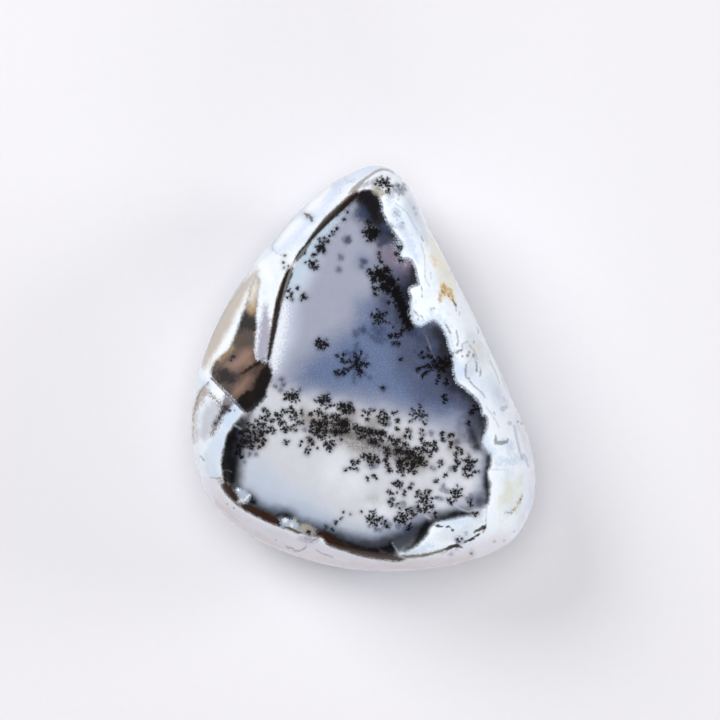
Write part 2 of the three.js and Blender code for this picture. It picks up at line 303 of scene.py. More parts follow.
# The dendrites: each a bunch of knots (x, y, radius), which its moss grows from and stays within
DENDRITES = (
    # the tip
    ((1.6, 24.2, 0.13), (2.2, 24.3, 0.16), (2.8, 24.4, 0.18), (2.5, 24.8, 0.16)),
    ((3.5, 24, 0.2), (3.25, 23.3, 0.25), (3.1, 23.9, 0.2), (3.9, 23.9, 0.12)),
    ((-7.7, 20.3, 0.1), (-7.3, 20, 0.2), (-6.9, 19.7, 0.17), (-6.75, 19.4, 0.12)),
    ((-17.05, 1.55, 0.2), (-17.25, 1.3, 0.15), (-17.4, 1.05, 0.14)),
    # along the upper left edge
    ((-5.6, 15.9, 0.55), (-5.4, 16.4, 0.35), (-5.9, 15.4, 0.3), (-5.3, 15.4, 0.3)),
    ((-6.6, 13.7, 0.5), (-6.3, 13.3, 0.35)),
    ((-2.55, 19.55, 0.2), (-2.1, 20.45, 0.15), (-3.45, 18.35, 0.18), (-4, 17.8, 0.22)),
    ((-5.1, 16.9, 0.25), (-5.7, 16.95, 0.2), (-4.7, 16.7, 0.2), (-4.4, 17.4, 0.15)),
    ((-6.5, 14.9, 0.25), (-7.6, 13.9, 0.15), (-7.7, 15.1, 0.15), (-3.4, 20.1, 0.12)),
    ((-9.8, 10.2, 0.2), (-9.5, 9.7, 0.25), (-9.4, 9.1, 0.2), (-10, 9.3, 0.15)),
    ((-8.65, 10.55, 0.2),),
    ((-7.8, 9.4, 0.42),),
    ((-10.5, 13.9, 0.15), (-10.4, 13.2, 0.12), (-9.85, 13.4, 0.12), (-10.3, 14.8, 0.15)),
    # the upper window
    ((0.8, 19.2, 0.25),),
    ((0.4, 17.9, 0.5), (0.9, 18, 0.6), (1.2, 17.6, 0.75), (1.6, 17.9, 0.5), (0.9, 17.2, 0.5)),
    ((2.05, 15.1, 0.2), (2.1, 14.6, 0.18), (2.3, 14, 0.2)),
    ((4.7, 15.8, 0.35), (4.5, 15, 0.3), (4.9, 14.2, 0.3)),
    ((1, 12.5, 0.5), (2, 12.5, 0.75), (3, 12.9, 0.6), (2.5, 11.9, 0.7), (1.4, 11.7, 0.48)),
    ((3.6, 11.3, 0.85), (2.7, 10.8, 0.7), (1.6, 10.4, 0.4), (3.2, 10.4, 0.6), (1.6, 9.7, 0.3)),
    ((4.2, 10, 0.8), (4.6, 9.1, 0.7), (4.8, 8.4, 0.6), (5.3, 7.8, 0.7), (5.3, 7, 0.6)),
    ((5.6, 6.4, 0.6), (5.9, 5.7, 0.55), (6.2, 5.3, 0.3), (5.4, 5.2, 0.35), (4.9, 4.5, 0.3)),
    ((4.3, 4.3, 0.3), (3.6, 4.2, 0.25), (4, 3.2, 0.25), (4.5, 3.2, 0.25)),
    ((3.3, 8.6, 0.2), (3.4, 5.95, 0.15), (3.9, 5.4, 0.12), (4.95, 1.2, 0.2), (8.4, 2.7, 0.12)),
    ((2.1, 6.9, 0.35), (1.6, 6.8, 0.25), (2.6, 7.1, 0.25), (2, 6.1, 0.25), (1.4, 5.9, 0.2)),
    ((-5.9, 3.5, 0.4), (-5.2, 3.4, 0.4), (-5.6, 2.9, 0.4), (-4.9, 3, 0.3), (-6.1, 3.1, 0.25)),
    ((-3.4, 1.6, 0.2), (-2.6, 1.8, 0.2), (-2.8, 1.1, 0.25), (-0.9, 1.2, 0.25), (-0.1, 0.6, 0.3)),
    ((0.3, 0.4, 0.25), (-0.5, 0.2, 0.3), (-0.3, -0.4, 0.25)),
    ((-3.6, -0.5, 0.2), (-3.2, -0.8, 0.2), (-2.7, -0.6, 0.25), (-2.4, -0.7, 0.15)),
    ((-3.2, -0.25, 0.15), (-2.4, -0.1, 0.2), (-2, -0.4, 0.15)),
    # beside the rind on the right
    ((9.4, 0.9, 0.35), (8.9, 1.5, 0.22), (8.4, 1.6, 0.2), (7.9, 1.45, 0.18), (7.5, 1.6, 0.2)),
    ((8.6, 2.2, 0.18), (8.4, 2.7, 0.13), (7.7, 2.1, 0.16)),
    ((9.2, 0.4, 0.35), (8.6, 0.35, 0.22), (8.1, 0.25, 0.2), (7.6, 0.1, 0.2), (7.1, -0.15, 0.22)),
    ((8.9, -0.1, 0.2), (8.4, -0.45, 0.22), (8, -0.65, 0.2), (7.75, -1, 0.14), (7.7, -1.3, 0.12)),
    ((10.2, 0.8, 0.6), (10.9, 0.6, 0.55), (10.4, -0.1, 0.55), (9.7, 0.3, 0.5), (10.9, 1.2, 0.35)),
    ((11.4, 1.5, 0.25), (11.4, 0.9, 0.3), (10, -0.9, 0.35), (9.7, -1.6, 0.16), (9.6, -1.95, 0.13)),
    ((10.9, -1.4, 0.16), (10.9, -1.9, 0.28)),
    ((14.7, -5.3, 0.45), (14.2, -5.8, 0.3), (13.8, -7.2, 0.25)),
    # the middle
    ((2.55, -2.65, 0.25),),
    ((-5.8, -4.1, 0.35), (-5.2, -3.9, 0.4), (-4.7, -4.2, 0.35), (-5.3, -4.5, 0.3)),
    ((-4.2, -4.8, 0.2), (-4.6, -5.1, 0.15), (-5, -5.3, 0.12), (-3.8, -4.8, 0.15)),
    ((-2.8, -4.9, 0.5), (-1.9, -5, 0.5), (-2.4, -5.6, 0.5), (-1.5, -5.5, 0.4), (-3.1, -5.3, 0.28)),
    ((0.1, -5.6, 0.2), (0.7, -5.9, 0.25), (0.9, -5.5, 0.2), (1.4, -5.5, 0.2)),
    ((0.5, -6.7, 0.2), (-0.1, -6.2, 0.15)),
    ((2.5, -5.7, 0.25), (2.8, -6.1, 0.25), (2, -6.4, 0.25), (2.7, -6.6, 0.3), (3.2, -6.5, 0.25)),
    ((2.2, -7, 0.2), (2.7, -7.2, 0.25), (2.9, -7.4, 0.2)),
    ((4, -5.9, 0.2), (4.4, -5.7, 0.15), (4.4, -6.7, 0.2), (4.5, -7, 0.2), (4.4, -7.9, 0.25)),
    ((-5.9, -5.8, 0.4), (-6.9, -6, 0.25), (-5, -6.4, 0.4), (-5.7, -7.3, 0.5), (-4.9, -7.3, 0.4)),
    ((-6.5, -7, 0.4), (-5.9, -8.1, 0.5), (-4.9, -8.3, 0.4), (-6.3, -8.4, 0.4), (-5.6, -8.9, 0.35)),
    ((-5.3, -9.1, 0.25), (-6.7, -7.7, 0.3), (-6.9, -8.2, 0.25)),
    ((-3.4, -6.4, 0.4), (-4.1, -6.3, 0.3), (-2.5, -7.3, 0.75), (-4, -7.2, 0.4)),
    ((-3.6, -8.3, 0.55), (-2.2, -8.2, 0.45), (-3, -8.4, 0.4), (-3.2, -7.3, 0.4)),
    ((-1, -7.6, 0.35), (-0.4, -8.2, 0.45), (0.3, -8.3, 0.45), (1, -8.4, 0.5), (1.7, -8.5, 0.4),
     (2.4, -8.5, 0.48)),
    ((-0.4, -9.1, 0.25), (0, -9, 0.25)),
    ((1.1, -9.5, 0.4), (1.7, -9.7, 0.45), (2.2, -9.4, 0.35), (1.4, -9.9, 0.25)),
    ((3.6, -9.3, 0.35), (4.2, -9.7, 0.4), (4.6, -9.5, 0.25), (5.5, -10, 0.35)),
    ((-4.8, -10, 0.4), (-4.1, -9.9, 0.4), (-4.4, -10.5, 0.35)),
    ((-6, -10.5, 0.15), (-2.9, -9.3, 0.15), (-4.5, -9, 0.15)),
    ((-7, -9.4, 0.35), (-6.6, -9.9, 0.2)),
    ((-7.3, -10.6, 0.3), (-7.4, -11.1, 0.25)),
    ((-8.1, -9.6, 0.15), (-8.3, -10.1, 0.15)),
    ((0.1, -11.6, 0.35), (0.8, -11.7, 0.45), (1.5, -11.8, 0.4), (1, -12.3, 0.35), (1.9, -12.3, 0.25)),
    ((3.1, -10.7, 0.4), (3.2, -11.4, 0.35), (2.9, -12.1, 0.3), (4.6, -10.8, 0.5)),
    ((4.7, -12.3, 0.5), (3.2, -12.8, 0.35), (3.4, -13.4, 0.3), (4.8, -13.4, 0.4), (5.2, -14, 0.2)),
    ((-1.2, -12.4, 0.3), (-0.7, -12.2, 0.25), (-1.55, -12.2, 0.15)),
    ((-1.7, -13.1, 0.2), (-2.3, -13.3, 0.2), (-0.8, -13.3, 0.2), (-1.3, -13.2, 0.15)),
    # the lower left
    ((-9.9, -3.6, 0.4), (-9.2, -3.6, 0.45), (-8.7, -3.6, 0.35), (-9.5, -4, 0.3), (-10.4, -4.1, 0.15)),
    ((-13, -5.5, 0.25), (-12.5, -5.9, 0.25), (-13.3, -6.5, 0.25), (-12.9, -6.7, 0.25)),
    ((-12.6, -6.4, 0.3), (-12, -6.9, 0.3), (-12.2, -7.9, 0.3), (-11.8, -8.3, 0.25)),
    ((-12.6, -8.3, 0.25), (-11.4, -6.1, 0.25), (-10.8, -6.1, 0.25), (-11.2, -6.6, 0.25)),
    ((-10.9, -7.2, 0.3), (-10.5, -7.1, 0.25), (-10.3, -8, 0.4), (-9.8, -7.9, 0.3)),
    ((-10.5, -5.5, 0.2), (-10.1, -5.7, 0.25), (-9.5, -5.2, 0.2), (-9.3, -5.6, 0.25)),
    ((-8.9, -6, 0.25), (-8.9, -6.5, 0.25), (-9.5, -6.5, 0.25), (-9.1, -7.6, 0.25)),
    ((-9, -8.1, 0.2), (-8.6, -7.1, 0.25), (-8.1, -5.5, 0.15), (-8, -7.1, 0.2), (-8.1, -6, 0.2)),
    ((-13, -9.4, 0.3), (-10.1, -9.7, 0.3)),
    ((-13.1, -7.4, 0.3), (-13.7, -7.9, 0.35), (-14.3, -8.5, 0.35), (-15, -8.9, 0.35)),
    ((-13.4, -8.7, 0.35), (-14, -9.4, 0.4), (-14.8, -9.6, 0.35), (-15.6, -9.5, 0.3)),
    ((-14.4, -7.6, 0.3), (-15.2, -8.2, 0.3), (-13, -8.2, 0.25), (-13.2, -9.9, 0.25)),
    ((-16.2, -11.2, 0.2), (-16, -11.6, 0.2), (-15.2, -10.3, 0.15), (-15.8, -10.3, 0.15)),
    ((-14, -6.9, 0.2), (-13.7, -7.3, 0.2), (-16, -8.6, 0.4), (-15.8, -9.7, 0.45), (-16.4, -10.2, 0.4)),
    ((-14.6, -10.3, 0.3), (-16.6, -11, 0.35), (-15, -7.4, 0.25), (-13.7, -10.3, 0.2)),
    ((-18, -5.2, 0.28), (-18.5, -5.8, 0.2), (-18.9, -6.5, 0.15), (-19.4, -7.2, 0.15)),
    ((12.35, -22.45, 0.15), (12.6, -22.75, 0.12), (12.9, -22.35, 0.1)),
    # the middle right
    ((10.6, -3.6, 0.3), (10.8, -4.1, 0.35)),
    ((6.4, -5.3, 0.12), (6.9, -5.9, 0.15), (7.3, -6.2, 0.2), (7.6, -6.6, 0.15), (8.3, -6.8, 0.12)),
    ((6.1, -6, 0.12), (6.5, -6.2, 0.15), (7.9, -5.6, 0.12), (7.4, -6, 0.15)),
    ((5.9, -8.2, 0.3), (5.5, -8.9, 0.25), (6.1, -9, 0.2), (7.6, -8.3, 0.3), (7.8, -8.6, 0.25)),
    ((10.4, -8.6, 0.25), (10.5, -9.4, 0.25), (11.3, -8.9, 0.25), (11.8, -8.7, 0.2)),
    ((11.5, -9.8, 0.25), (11.4, -10.3, 0.2), (12.3, -10.5, 0.2), (12.8, -10.7, 0.2)),
    ((12.2, -11.1, 0.2), (12.2, -11.4, 0.2), (12.9, -11.1, 0.2)),
    ((7.7, -9.3, 0.25), (8, -9.8, 0.3), (8.6, -10, 0.25), (8, -10.6, 0.4), (7.1, -10.6, 0.3)),
    ((8.3, -10.9, 0.25), (7.6, -11.1, 0.25)),
    ((9.2, -10.2, 0.35), (9.5, -10.6, 0.3), (9.4, -9.7, 0.2), (8.9, -10.9, 0.2), (8.8, -11.4, 0.2)),
    ((5.7, -11, 0.5), (6.4, -11.1, 0.5), (6, -11.8, 0.45), (6.7, -11.8, 0.4), (7.4, -11.8, 0.5)),
    ((7.9, -12.4, 0.4), (5, -12.3, 0.45), (6.5, -12.6, 0.5), (7.3, -12.5, 0.4), (5.7, -12.5, 0.35)),
    ((5.2, -13, 0.35), (6, -13.4, 0.3), (6.7, -13.6, 0.25), (6.3, -13.2, 0.25)),
    ((10.2, -12.4, 0.3), (9.95, -12.9, 0.12)),
    ((12.2, -12.1, 0.3), (12.5, -12.5, 0.25), (12.1, -12.9, 0.2), (12, -13.3, 0.25)),
    ((13.5, -12, 0.2), (14, -12.4, 0.3), (14.5, -12.3, 0.25), (14.9, -12.1, 0.15)),
    ((13.3, -13.3, 0.3), (13.3, -13.8, 0.25), (13.6, -14.1, 0.25), (14, -13.3, 0.25)),
    ((14.4, -13.6, 0.2), (14.8, -13.6, 0.15), (15.1, -13.55, 0.15), (14.2, -14, 0.2)),
    # the lower right
    ((4, -15.1, 0.25), (4.5, -14.8, 0.2), (4.6, -15.2, 0.3), (4.8, -15.5, 0.25), (5, -15.1, 0.2)),
    ((3.4, -16.2, 0.2), (3.6, -16.4, 0.2), (3.9, -16.5, 0.12), (4.4, -16.3, 0.12)),
    ((3.7, -17.2, 0.3), (3.4, -17.5, 0.2), (3.8, -17.8, 0.3), (4.4, -18, 0.2), (4.7, -18.3, 0.15)),
    ((5, -18.6, 0.12), (5.6, -18.5, 0.15), (6.1, -18.5, 0.25), (6.3, -19, 0.25), (6.7, -19.3, 0.25)),
    ((5.1, -19.1, 0.2), (5.2, -19.7, 0.3), (5.3, -20.2, 0.3), (4.3, -19.8, 0.3), (4.8, -19.9, 0.2)),
    ((6.2, -20.4, 0.15), (6, -20.9, 0.35)),
    ((5.4, -16.2, 0.2), (5.3, -16.6, 0.2), (6.3, -15.3, 0.22), (6.1, -15.7, 0.2)),
    ((7, -16.2, 0.15), (7.1, -16.7, 0.2), (7.6, -17, 0.2), (7.7, -17.5, 0.2)),
    ((8.1, -16.3, 0.2), (8.5, -16.3, 0.25), (8.2, -16.9, 0.25), (8.3, -17.5, 0.25)),
    ((8.1, -18.1, 0.25), (8.2, -18.6, 0.25), (8.6, -18.9, 0.15), (8, -18.9, 0.15)),
    ((7.2, -18.2, 0.2), (7.4, -18.7, 0.25), (9, -18.2, 0.2), (9.1, -18.5, 0.12)),
    ((9.4, -19, 0.2), (9.5, -19.5, 0.15)),
    ((9.3, -14.9, 0.15), (9.6, -14.7, 0.2), (10.8, -14, 0.2), (10.6, -14.25, 0.12)),
    ((12, -16.2, 0.25), (12.15, -16.7, 0.25), (12.5, -16.8, 0.15), (12.9, -16.7, 0.12)),
    ((11.85, -15.9, 0.12), (12.7, -16, 0.1), (12.05, -17.1, 0.15)),
    ((11.2, -17.4, 0.2), (11.5, -17.6, 0.25), (11.9, -17.4, 0.15), (11, -17.1, 0.12)),
    ((14, -17.5, 0.22), (14, -17.9, 0.2), (14.3, -18, 0.12)),
    ((14.9, -19.05, 0.2), (14.7, -19.4, 0.15), (14.4, -19, 0.15)),
    ((1.1, -14.1, 0.15), (1.4, -14.1, 0.2), (1.7, -14.45, 0.15)),
    ((0.4, -14.3, 0.12), (0.6, -14.4, 0.15), (0.6, -14.75, 0.12)),
    # the lower middle
    ((0.8, -19.3, 0.15), (0.75, -19.9, 0.25), (1.3, -19.4, 0.2), (1.4, -19.9, 0.3), (1.9, -19.8, 0.25)),
    ((1.3, -20.4, 0.2), (1.7, -20.6, 0.2)),
    ((2.9, -20.1, 0.15), (2.4, -20.4, 0.15), (2.7, -20.5, 0.12), (3.15, -20.75, 0.18)),
    ((-2.6, -18.9, 0.12), (-2.75, -19.55, 0.08), (-3, -19.8, 0.12), (-3.6, -20.15, 0.2)),
    ((-3.65, -20.5, 0.12), (-1.7, -19.15, 0.12), (-0.25, -18.85, 0.14)),
    ((-4.9, -20.85, 0.2), (-4, -21.15, 0.18)),
    ((-7.2, -21.45, 0.22),),
)


def spot(x, y, radius):
    return ("stroke", ((x, y, radius), (x, y, radius)))


def spots(*places):
    return [spot(*place) for place in places]


def line(width, *points):
    """A line of even width."""
    return ("stroke", tuple((x, y, width / 2) for x, y in points))


def streak(*points):
    """A line whose points give its width there."""
    return ("stroke", tuple((x, y, width / 2) for x, y, width in points))


def patch(*points):
    return ("patch", points)


# The layers of colour, from the lowest up: name, colour, softness of the rim and raggedness (both mm),
# the noise that makes it ragged, strength, what it is kept within, and its shapes
LAYERS = (
    ("milk", "milk", 0.34, 0.09, "fine", 1, "stone", [patch(*WINDOW), line(0.25, *WINDOW)]),
    ("lavender", "lavender", 3.2, 1, "coarse", 1, "window", [
        patch((-13.5, -2), (-8, -3.4), (-3, -4.3), (2, -5.3), (5, -6.1), (9, -7.8), (12, -9.2),
              (18, -11), (18, 20), (3, 27), (-4, 25), (-14, 14)),
    ]),
    ("horizon", "horizon", 5, 1, "coarse", 0.95, "window", [
        patch((-10, -1.8), (-8.5, 0.8), (-5, 2.6), (-2.4, 5.4), (-0.4, 8.6), (2.5, 10),
              (6, 8), (12, 2), (15, -5.5), (12.2, -6.4), (9.5, -6), (5.5, -5.2),
              (2, -4.5), (-3, -3.6), (-7, -3)),
    ]),
    ("slate", "slate", 4, 1.2, "coarse", 0.9, "window", [
        patch((0.4, 25), (0.4, 20), (2.4, 16), (2.6, 12.5), (1.8, 10), (1.6, 7), (3.5, 4),
              (5, 0), (7.5, -4), (11, -5), (14, -5.6), (17, -6), (13, 1), (9, 7),
              (8, 14), (4, 22)),
    ]),
    ("left_glow", "left_glow", 3.6, 0.6, "coarse", 0.85, "window", [
        streak((-6.8, 14.4, 0.8), (-9.4, 9.4, 1.6), (-10.6, 4.2, 2.2), (-11.4, 0.4, 1.2)),
    ]),
    ("blue_haze", "blue_haze", 3.4, 0.8, "coarse", 0.9, "window", [
        *spots((0.5, 7.4, 0.9), (0.1, 14, 0.2)),
        line(2.8, (-16.5, -16.4), (-14.5, -17.8), (-11.4, -19), (-8, -20.1), (-5, -21.3)),
        line(2.8, (-5, -21.5), (-2.5, -22.4), (0, -23), (2, -22.8), (4.4, -22), (7.4, -20.6)),
        line(1.6, (15.6, -11.6), (15.9, -13.2), (15.7, -15), (15.2, -16.6)),
        line(1.6, (9.8, -19.2), (11.5, -18.7), (12.8, -18.2)),
    ]),
    ("cool_milk", "cool_milk", 5, 1.2, "coarse", 0.6, "window", [
        patch((-17, -10), (-12, -12.6), (-9, -15), (-6, -17.4), (-3, -20), (1, -21.4), (4, -20.6),
              (2, -23), (-6, -21), (-14, -18.5), (-18, -14)),
    ]),
    ("porcelain", "porcelain", 5, 1, "coarse", 0.75, "window", [
        *spots((-4, -13.6, 1.5), (-1.5, -15, 1.5), (2.4, -18.8, 1.2), (11.4, -16, 1.2)),
        *spots((13.8, -15, 1), (10.4, -17.8, 0.8), (14.8, -11.8, 0.6)),
    ]),
    ("band_halo", "band_halo", 2.6, 0.6, "medium", 0.9, "window", [
        line(1.6, (-1.6, -7.9), (0.6, -9), (2.6, -10), (4.4, -11.2)),
        streak((-3, -9.6, 1), (0, -10.6, 1.6), (2, -11.4, 1)),
        line(2.2, (-7.4, -6.6), (-6.5, -6.8), (-3.5, -7.8), (0, -9), (3.2, -10.6), (5.6, -12),
             (7.6, -12.4)),
        *spots((-14.4, -9.2, 1.4), (-7, -9.2, 0.6), (12, -10, 0.9), (4.9, -9.2, 0.6)),
        *spots((1.6, -17.2, 0.3), (1, -12.2, 0.6), (-1.6, -6.6, 1.2), (1.4, -7.2, 1)),
    ]),
    ("band_dust", "sepia", 2, 1.6, "frosty", 0.5, "window", [
        streak((-5, -8.2, 1.2), (-2, -8.8, 1.4), (0.4, -9.4, 1.8), (2.4, -10.2, 1.8), (4.4, -11.2, 1.6),
               (6.4, -12, 1.6)),
    ]),
    ("tufts", "smoke", 2.2, 0.9, "fine", 0.7, "window", [
        streak((-16.8, -9.4, 2.2), (-15.6, -9.8, 2), (-14.2, -9, 1.4), (-13.2, -8.2, 0.6)),
    ]),
    ("violet_haze", "violet_haze", 2.6, 0.6, "medium", 0.85, "window", [
        streak((2.4, 15.4, 1), (4, 15.2, 2), (5.2, 14.1, 2), (6, 13, 1.4)),
    ]),
    ("dusk", "dusk", 2.6, 0.8, "medium", 0.85, "window", [
        streak((2.4, 19, 1.2), (3.6, 17.4, 1)),
        streak((5.4, 12.2, 0.8), (5, 9.5, 2.4), (5.4, 6, 2.2)),
        streak((7.5, 3.8, 1.2), (9.6, 3.4, 2.6), (10.8, 0.6, 3), (11.4, -1.8, 2.2), (12.2, -3.2, 1.6)),
        streak((13, -3.6, 1.4), (14.2, -5.8, 2.4), (14.4, -7.8, 3.2), (14.4, -9.2, 2.6), (15.1, -10.3, 1)),
        streak((14.6, -7, 1.2), (14.6, -9.5, 1.8)),
        streak((2.6, 9.2, 0.8), (3.2, 7.6, 1.2)),
        *spots((-0.1, 20.4, 1), (15.3, -17.2, 0.8)),
    ]),
    ("smoke", "smoke", 1.6, 0.4, "medium", 0.95, "window", [
        streak((0.2, 23.2, 2.4), (1, 21.5, 2.8), (1.5, 19.6, 2.4), (2.3, 18.2, 1.8), (2.9, 17.1, 1.4)),
        streak((2.2, 20.2, 1.4), (3.3, 18.2, 1.4), (4.2, 16.7, 0.8)),
        streak((6.6, 13.4, 0.8), (6.4, 11.2, 1.6), (5.4, 9.4, 2), (5.3, 6.8, 1.8), (6.4, 4.8, 1)),
        streak((9.6, 5.2, 1.2), (10.7, 3.6, 1.6), (10.9, 1.2, 2.2), (11.3, -0.8, 2), (11.7, -2.2, 1.4)),
        streak((12.6, -2.6, 0.8), (14.6, -4.3, 1), (15.6, -6.4, 1.6), (15.7, -8.2, 1.4), (15.6, -9.6, 1.2)),
        streak((14.2, -8.2, 0.8), (14.7, -9.6, 1.4), (15.3, -10.6, 1)),
        streak((-15.6, -6.3, 0.6), (-16.2, -7, 0.9), (-16.6, -7.8, 0.9)),
        streak((16.3, -11.6, 0.8), (16.2, -13.2, 0.7), (16.2, -15.2, 0.7), (16.4, -17.2, 0.5)),
    ]),
    ("tip_shadow", "dark_smoke", 1.4, 0.4, "fine", 0.93, "window", [
        patch((-0.6, 23.6), (0.8, 23.5), (2, 22.6), (2.3, 21.3), (2.3, 20.2), (2.3, 19.4), (1.6, 19),
              (0.7, 19.4), (0.1, 20.6), (-0.2, 21.6), (-0.7, 22), (-1.6, 21.6), (-1.8, 22.2)),
        streak((-0.4, 23.3, 0.5), (-1.6, 22.3, 1), (-3, 21, 1), (-4.2, 19.9, 0.8), (-5.2, 18.9, 0.5)),
        streak((1.5, 12.4, 0.3), (2.9, 12.2, 0.9), (4, 10.8, 0.9), (5.2, 9.6, 1.4), (5.5, 7.6, 1),
               (6, 6, 0.4)),
        streak((9.4, 1, 0.5), (10.6, 0.6, 1.7), (11, -0.4, 1)),
    ]),
    ("sepia", "sepia", 0.9, 0.4, "fine", 0.5, "window", [
        streak((-1.4, -7.6, 0.5), (-0.5, -7.8, 0.6)),
        streak((0, -8, 0.7), (1.4, -8.2, 0.9), (2.7, -8.5, 0.8)),
        streak((4.2, -10.4, 0.3), (5.6, -11.2, 0.5)),
        *spots((-2.5, -7.3, 0.9), (-3.6, -8.2, 0.6), (-3.2, -6.6, 0.5), (-2.2, -8.2, 0.5)),
        *spots((-0.4, -8.2, 0.3), (0.6, -8.4, 0.4), (1.3, -8.6, 0.3), (-5.6, -7.4, 0.6), (-5.4, -8.4, 0.4)),
        *spots((6, -11.4, 0.6), (7.2, -12, 0.5), (5, -12.4, 0.4), (14.8, -10.3, 0.2)),
        *spots((1.4, -9.6, 0.4), (4.6, -10.8, 0.3), (0.8, -11.8, 0.4), (-2.2, -5.2, 0.5)),
    ]),
    ("deep_spots", "dusk", 0.7, 0.15, "fine", 0.9, "window", [
        *spots((-2.1, 16.85, 0.6), (2.7, 17, 0.65), (2.2, 16.3, 0.5), (0.1, 14, 0.2)),
    ]),
    ("rim_frost", "frost", 0.3, 0.3, "frosty", 0.85, "stone", [line(0.12, *WINDOW_RIGHT[4:])]),
    # the frosted skin inside the upper left edge, and the bright fringe under it
    ("frost", "frost", 1.4, 1, "frosty", 0.92, "window", [
        streak((-3.3, 20, 1), (-5.3, 17.7, 1.8), (-7.3, 15.2, 2.2), (-8.8, 12.4, 2.2), (-9.8, 9.6, 1.6)),
        streak((4.7, 16.3, 0.8), (5.3, 15.2, 1.3), (5.1, 14.4, 0.7)),
    ]),
    ("fringe", "fringe", 1.3, 0.8, "frosty", 0.95, "window", [
        streak((-10, 9.6, 0.3), (-10.7, 6.5, 1.3), (-11.2, 4, 1.6), (-11.6, 1.8, 1.4),
               (-11.8, -0.6, 0.4)),
    ]),
    ("tip_smear", "tip_smear", 0.8, 0.5, "fine", 0.8, "stone", [
        streak((-1, 23.5, 0.4), (0.2, 24.1, 0.7), (1.6, 24.4, 0.8), (3, 24.2, 0.6)),
    ]),
    ("tip_glass", "tip_glass", 0.5, 0.2, "fine", 0.9, "stone", [
        patch((1, 23.7), (1.8, 24), (2.9, 23.6), (2.8, 22.7), (2.2, 22.4), (1.4, 22.9)),
    ]),
    # Painted highlights: the white glints of the light on the polish at the tip
    ("tip_painted_highlight", "white", 0.35, 0.1, "fine", 0.95, "stone", [
        streak((2.2, 23.75, 0.2), (2.65, 23.7, 0.5), (2.75, 23.3, 0.2)),
        streak((-1.4, 22.8, 0.1), (-0.9, 23.15, 0.25), (-0.3, 23.5, 0.12)),
        spot(2.7, 22.6, 0.15),
    ]),
    # the dark border of the window along the left and the base
    ("border_haze", "smoke", 1.8, 0.3, "medium", 0.9, "window", [
        streak((-15, -6.3, 0.9), (-16.1, -7.8, 2.4), (-16.6, -9.4, 3.2), (-17.1, -11.8, 2.8),
               (-17, -14.2, 2), (-16.4, -15.8, 0.8)),
        streak((-15.1, -16.4, 0.5), (-14.4, -17.4, 1.2), (-13.4, -18.6, 1.4), (-11.6, -19.1, 1.4),
               (-10, -19.1, 1.3), (-8.6, -20.2, 1), (-6.2, -21.1, 1.5), (-4.4, -21.7, 2),
               (-2.8, -22.6, 2.2), (-0.6, -23.2, 2.4), (2, -23.4, 2.4), (3.8, -22.8, 2.4),
               (5.2, -22.4, 2.5), (7.2, -21.3, 2.2), (8.6, -20.3, 1.6), (10.4, -19.5, 1.2),
               (12.2, -18.9, 1.1), (13.8, -19, 0.6)),
    ]),
    ("border_brown", "umber_dark", 0.7, 0.12, "fine", 0.97, "window", [
        patch((-19.4, -15.2), (-18, -14.9), (-17.2, -15.6), (-16.4, -16.9), (-15.4, -17.7),
              (-14.2, -18), (-13.2, -18.6), (-11.6, -19.3), (-10.6, -20), (-10.2, -21.2),
              (-14, -20.4), (-17, -18.8), (-19.4, -16.6)),
        patch((-6.4, -22.7), (-6.2, -21.5), (-5.4, -21.2), (-4.4, -21.7), (-2.8, -22.8), (-0.6, -23.5),
              (1.8, -23.9), (3.6, -24.2), (5, -24.7), (6.2, -25.2), (2, -26), (-4, -24.8)),
        streak((-18.5, -12.4, 0.3), (-18.35, -14, 0.5), (-18.1, -15, 0.8)),
    ]),
    ("border_black", "ink", 0.8, 0.12, "fine", 0.95, "window", [
        streak((-16.7, -7.9, 0.7), (-17.2, -9.3, 1.8), (-17.4, -10.8, 2.2), (-17.7, -12.4, 2.2),
               (-17.6, -13.8, 1.8), (-17.3, -15, 0.9), (-16.9, -15.9, 0.3)),
        patch((-14.9, -16.5), (-14.5, -16.8), (-14, -17.5), (-14.2, -18.1), (-15.3, -17.9),
              (-15, -17.2)),
        streak((-11.6, -19.3, 0.2), (-10.5, -19.2, 0.6), (-9.8, -19.4, 0.5), (-9.4, -19.6, 0.3)),
        streak((-5.2, -21.3, 0.2), (-3, -22.6, 0.3), (-0.6, -23.5, 0.5), (2, -23.9, 0.7)),
        patch((1.8, -23.5), (3.2, -23), (3.7, -22.6), (4.2, -23.6), (4.5, -24.4), (3.2, -24.5)),
        patch((8.2, -20), (9.1, -20.2), (8.7, -21), (8.4, -21.8), (7.7, -22.6), (7, -23.3),
              (6.2, -23.8), (5.2, -24), (5.4, -23.6), (6.4, -22.9), (7, -21.8), (7.5, -20.8)),
        patch((12, -18.7), (13.2, -18.8), (13.9, -18.95), (13.8, -19.2), (12.4, -19.5), (10.2, -20),
              (10.4, -19.5)),
        streak((16.1, -13.6, 0.3), (16.15, -15.2, 0.6), (16.3, -16.8, 0.3), (16.3, -17.6, 0.2)),
        streak((16.45, -11.6, 0.3), (16.4, -12.6, 0.4), (16.1, -13.5, 0.25)),
    ]),
    ("light_strip", "fringe", 0.36, 0.06, "fine", 0.38, "window", [
        streak((11.9, -17.9, 0.1), (12.8, -18.5, 0.2), (13.8, -18.8, 0.16), (15.2, -18.5, 0.2)),
        line(0.14, (3.8, -22.9), (4.2, -23.5), (4.7, -24.3)),
        streak((8.1, -19.3, 0.2), (8.5, -19.6, 0.25), (8.9, -19.8, 0.1)),
        line(0.16, (-17, -7.4), (-16.1, -7.95)),
    ]),
    ("slate_chip", "slate_chip", 0.6, 0.2, "frosty", 0.75, "window", [
        patch((3.75, -22.8), (4.5, -22.6), (5.5, -22.8), (5.9, -23.2), (5.2, -23.5), (4.9, -23.9),
              (4.6, -24.1), (4.4, -23.6), (4.1, -23.2)),
    ]),
    # the chips in the border
    ("chips", "chip", 0.3, 0.35, "frosty", 0.9, "stone", [
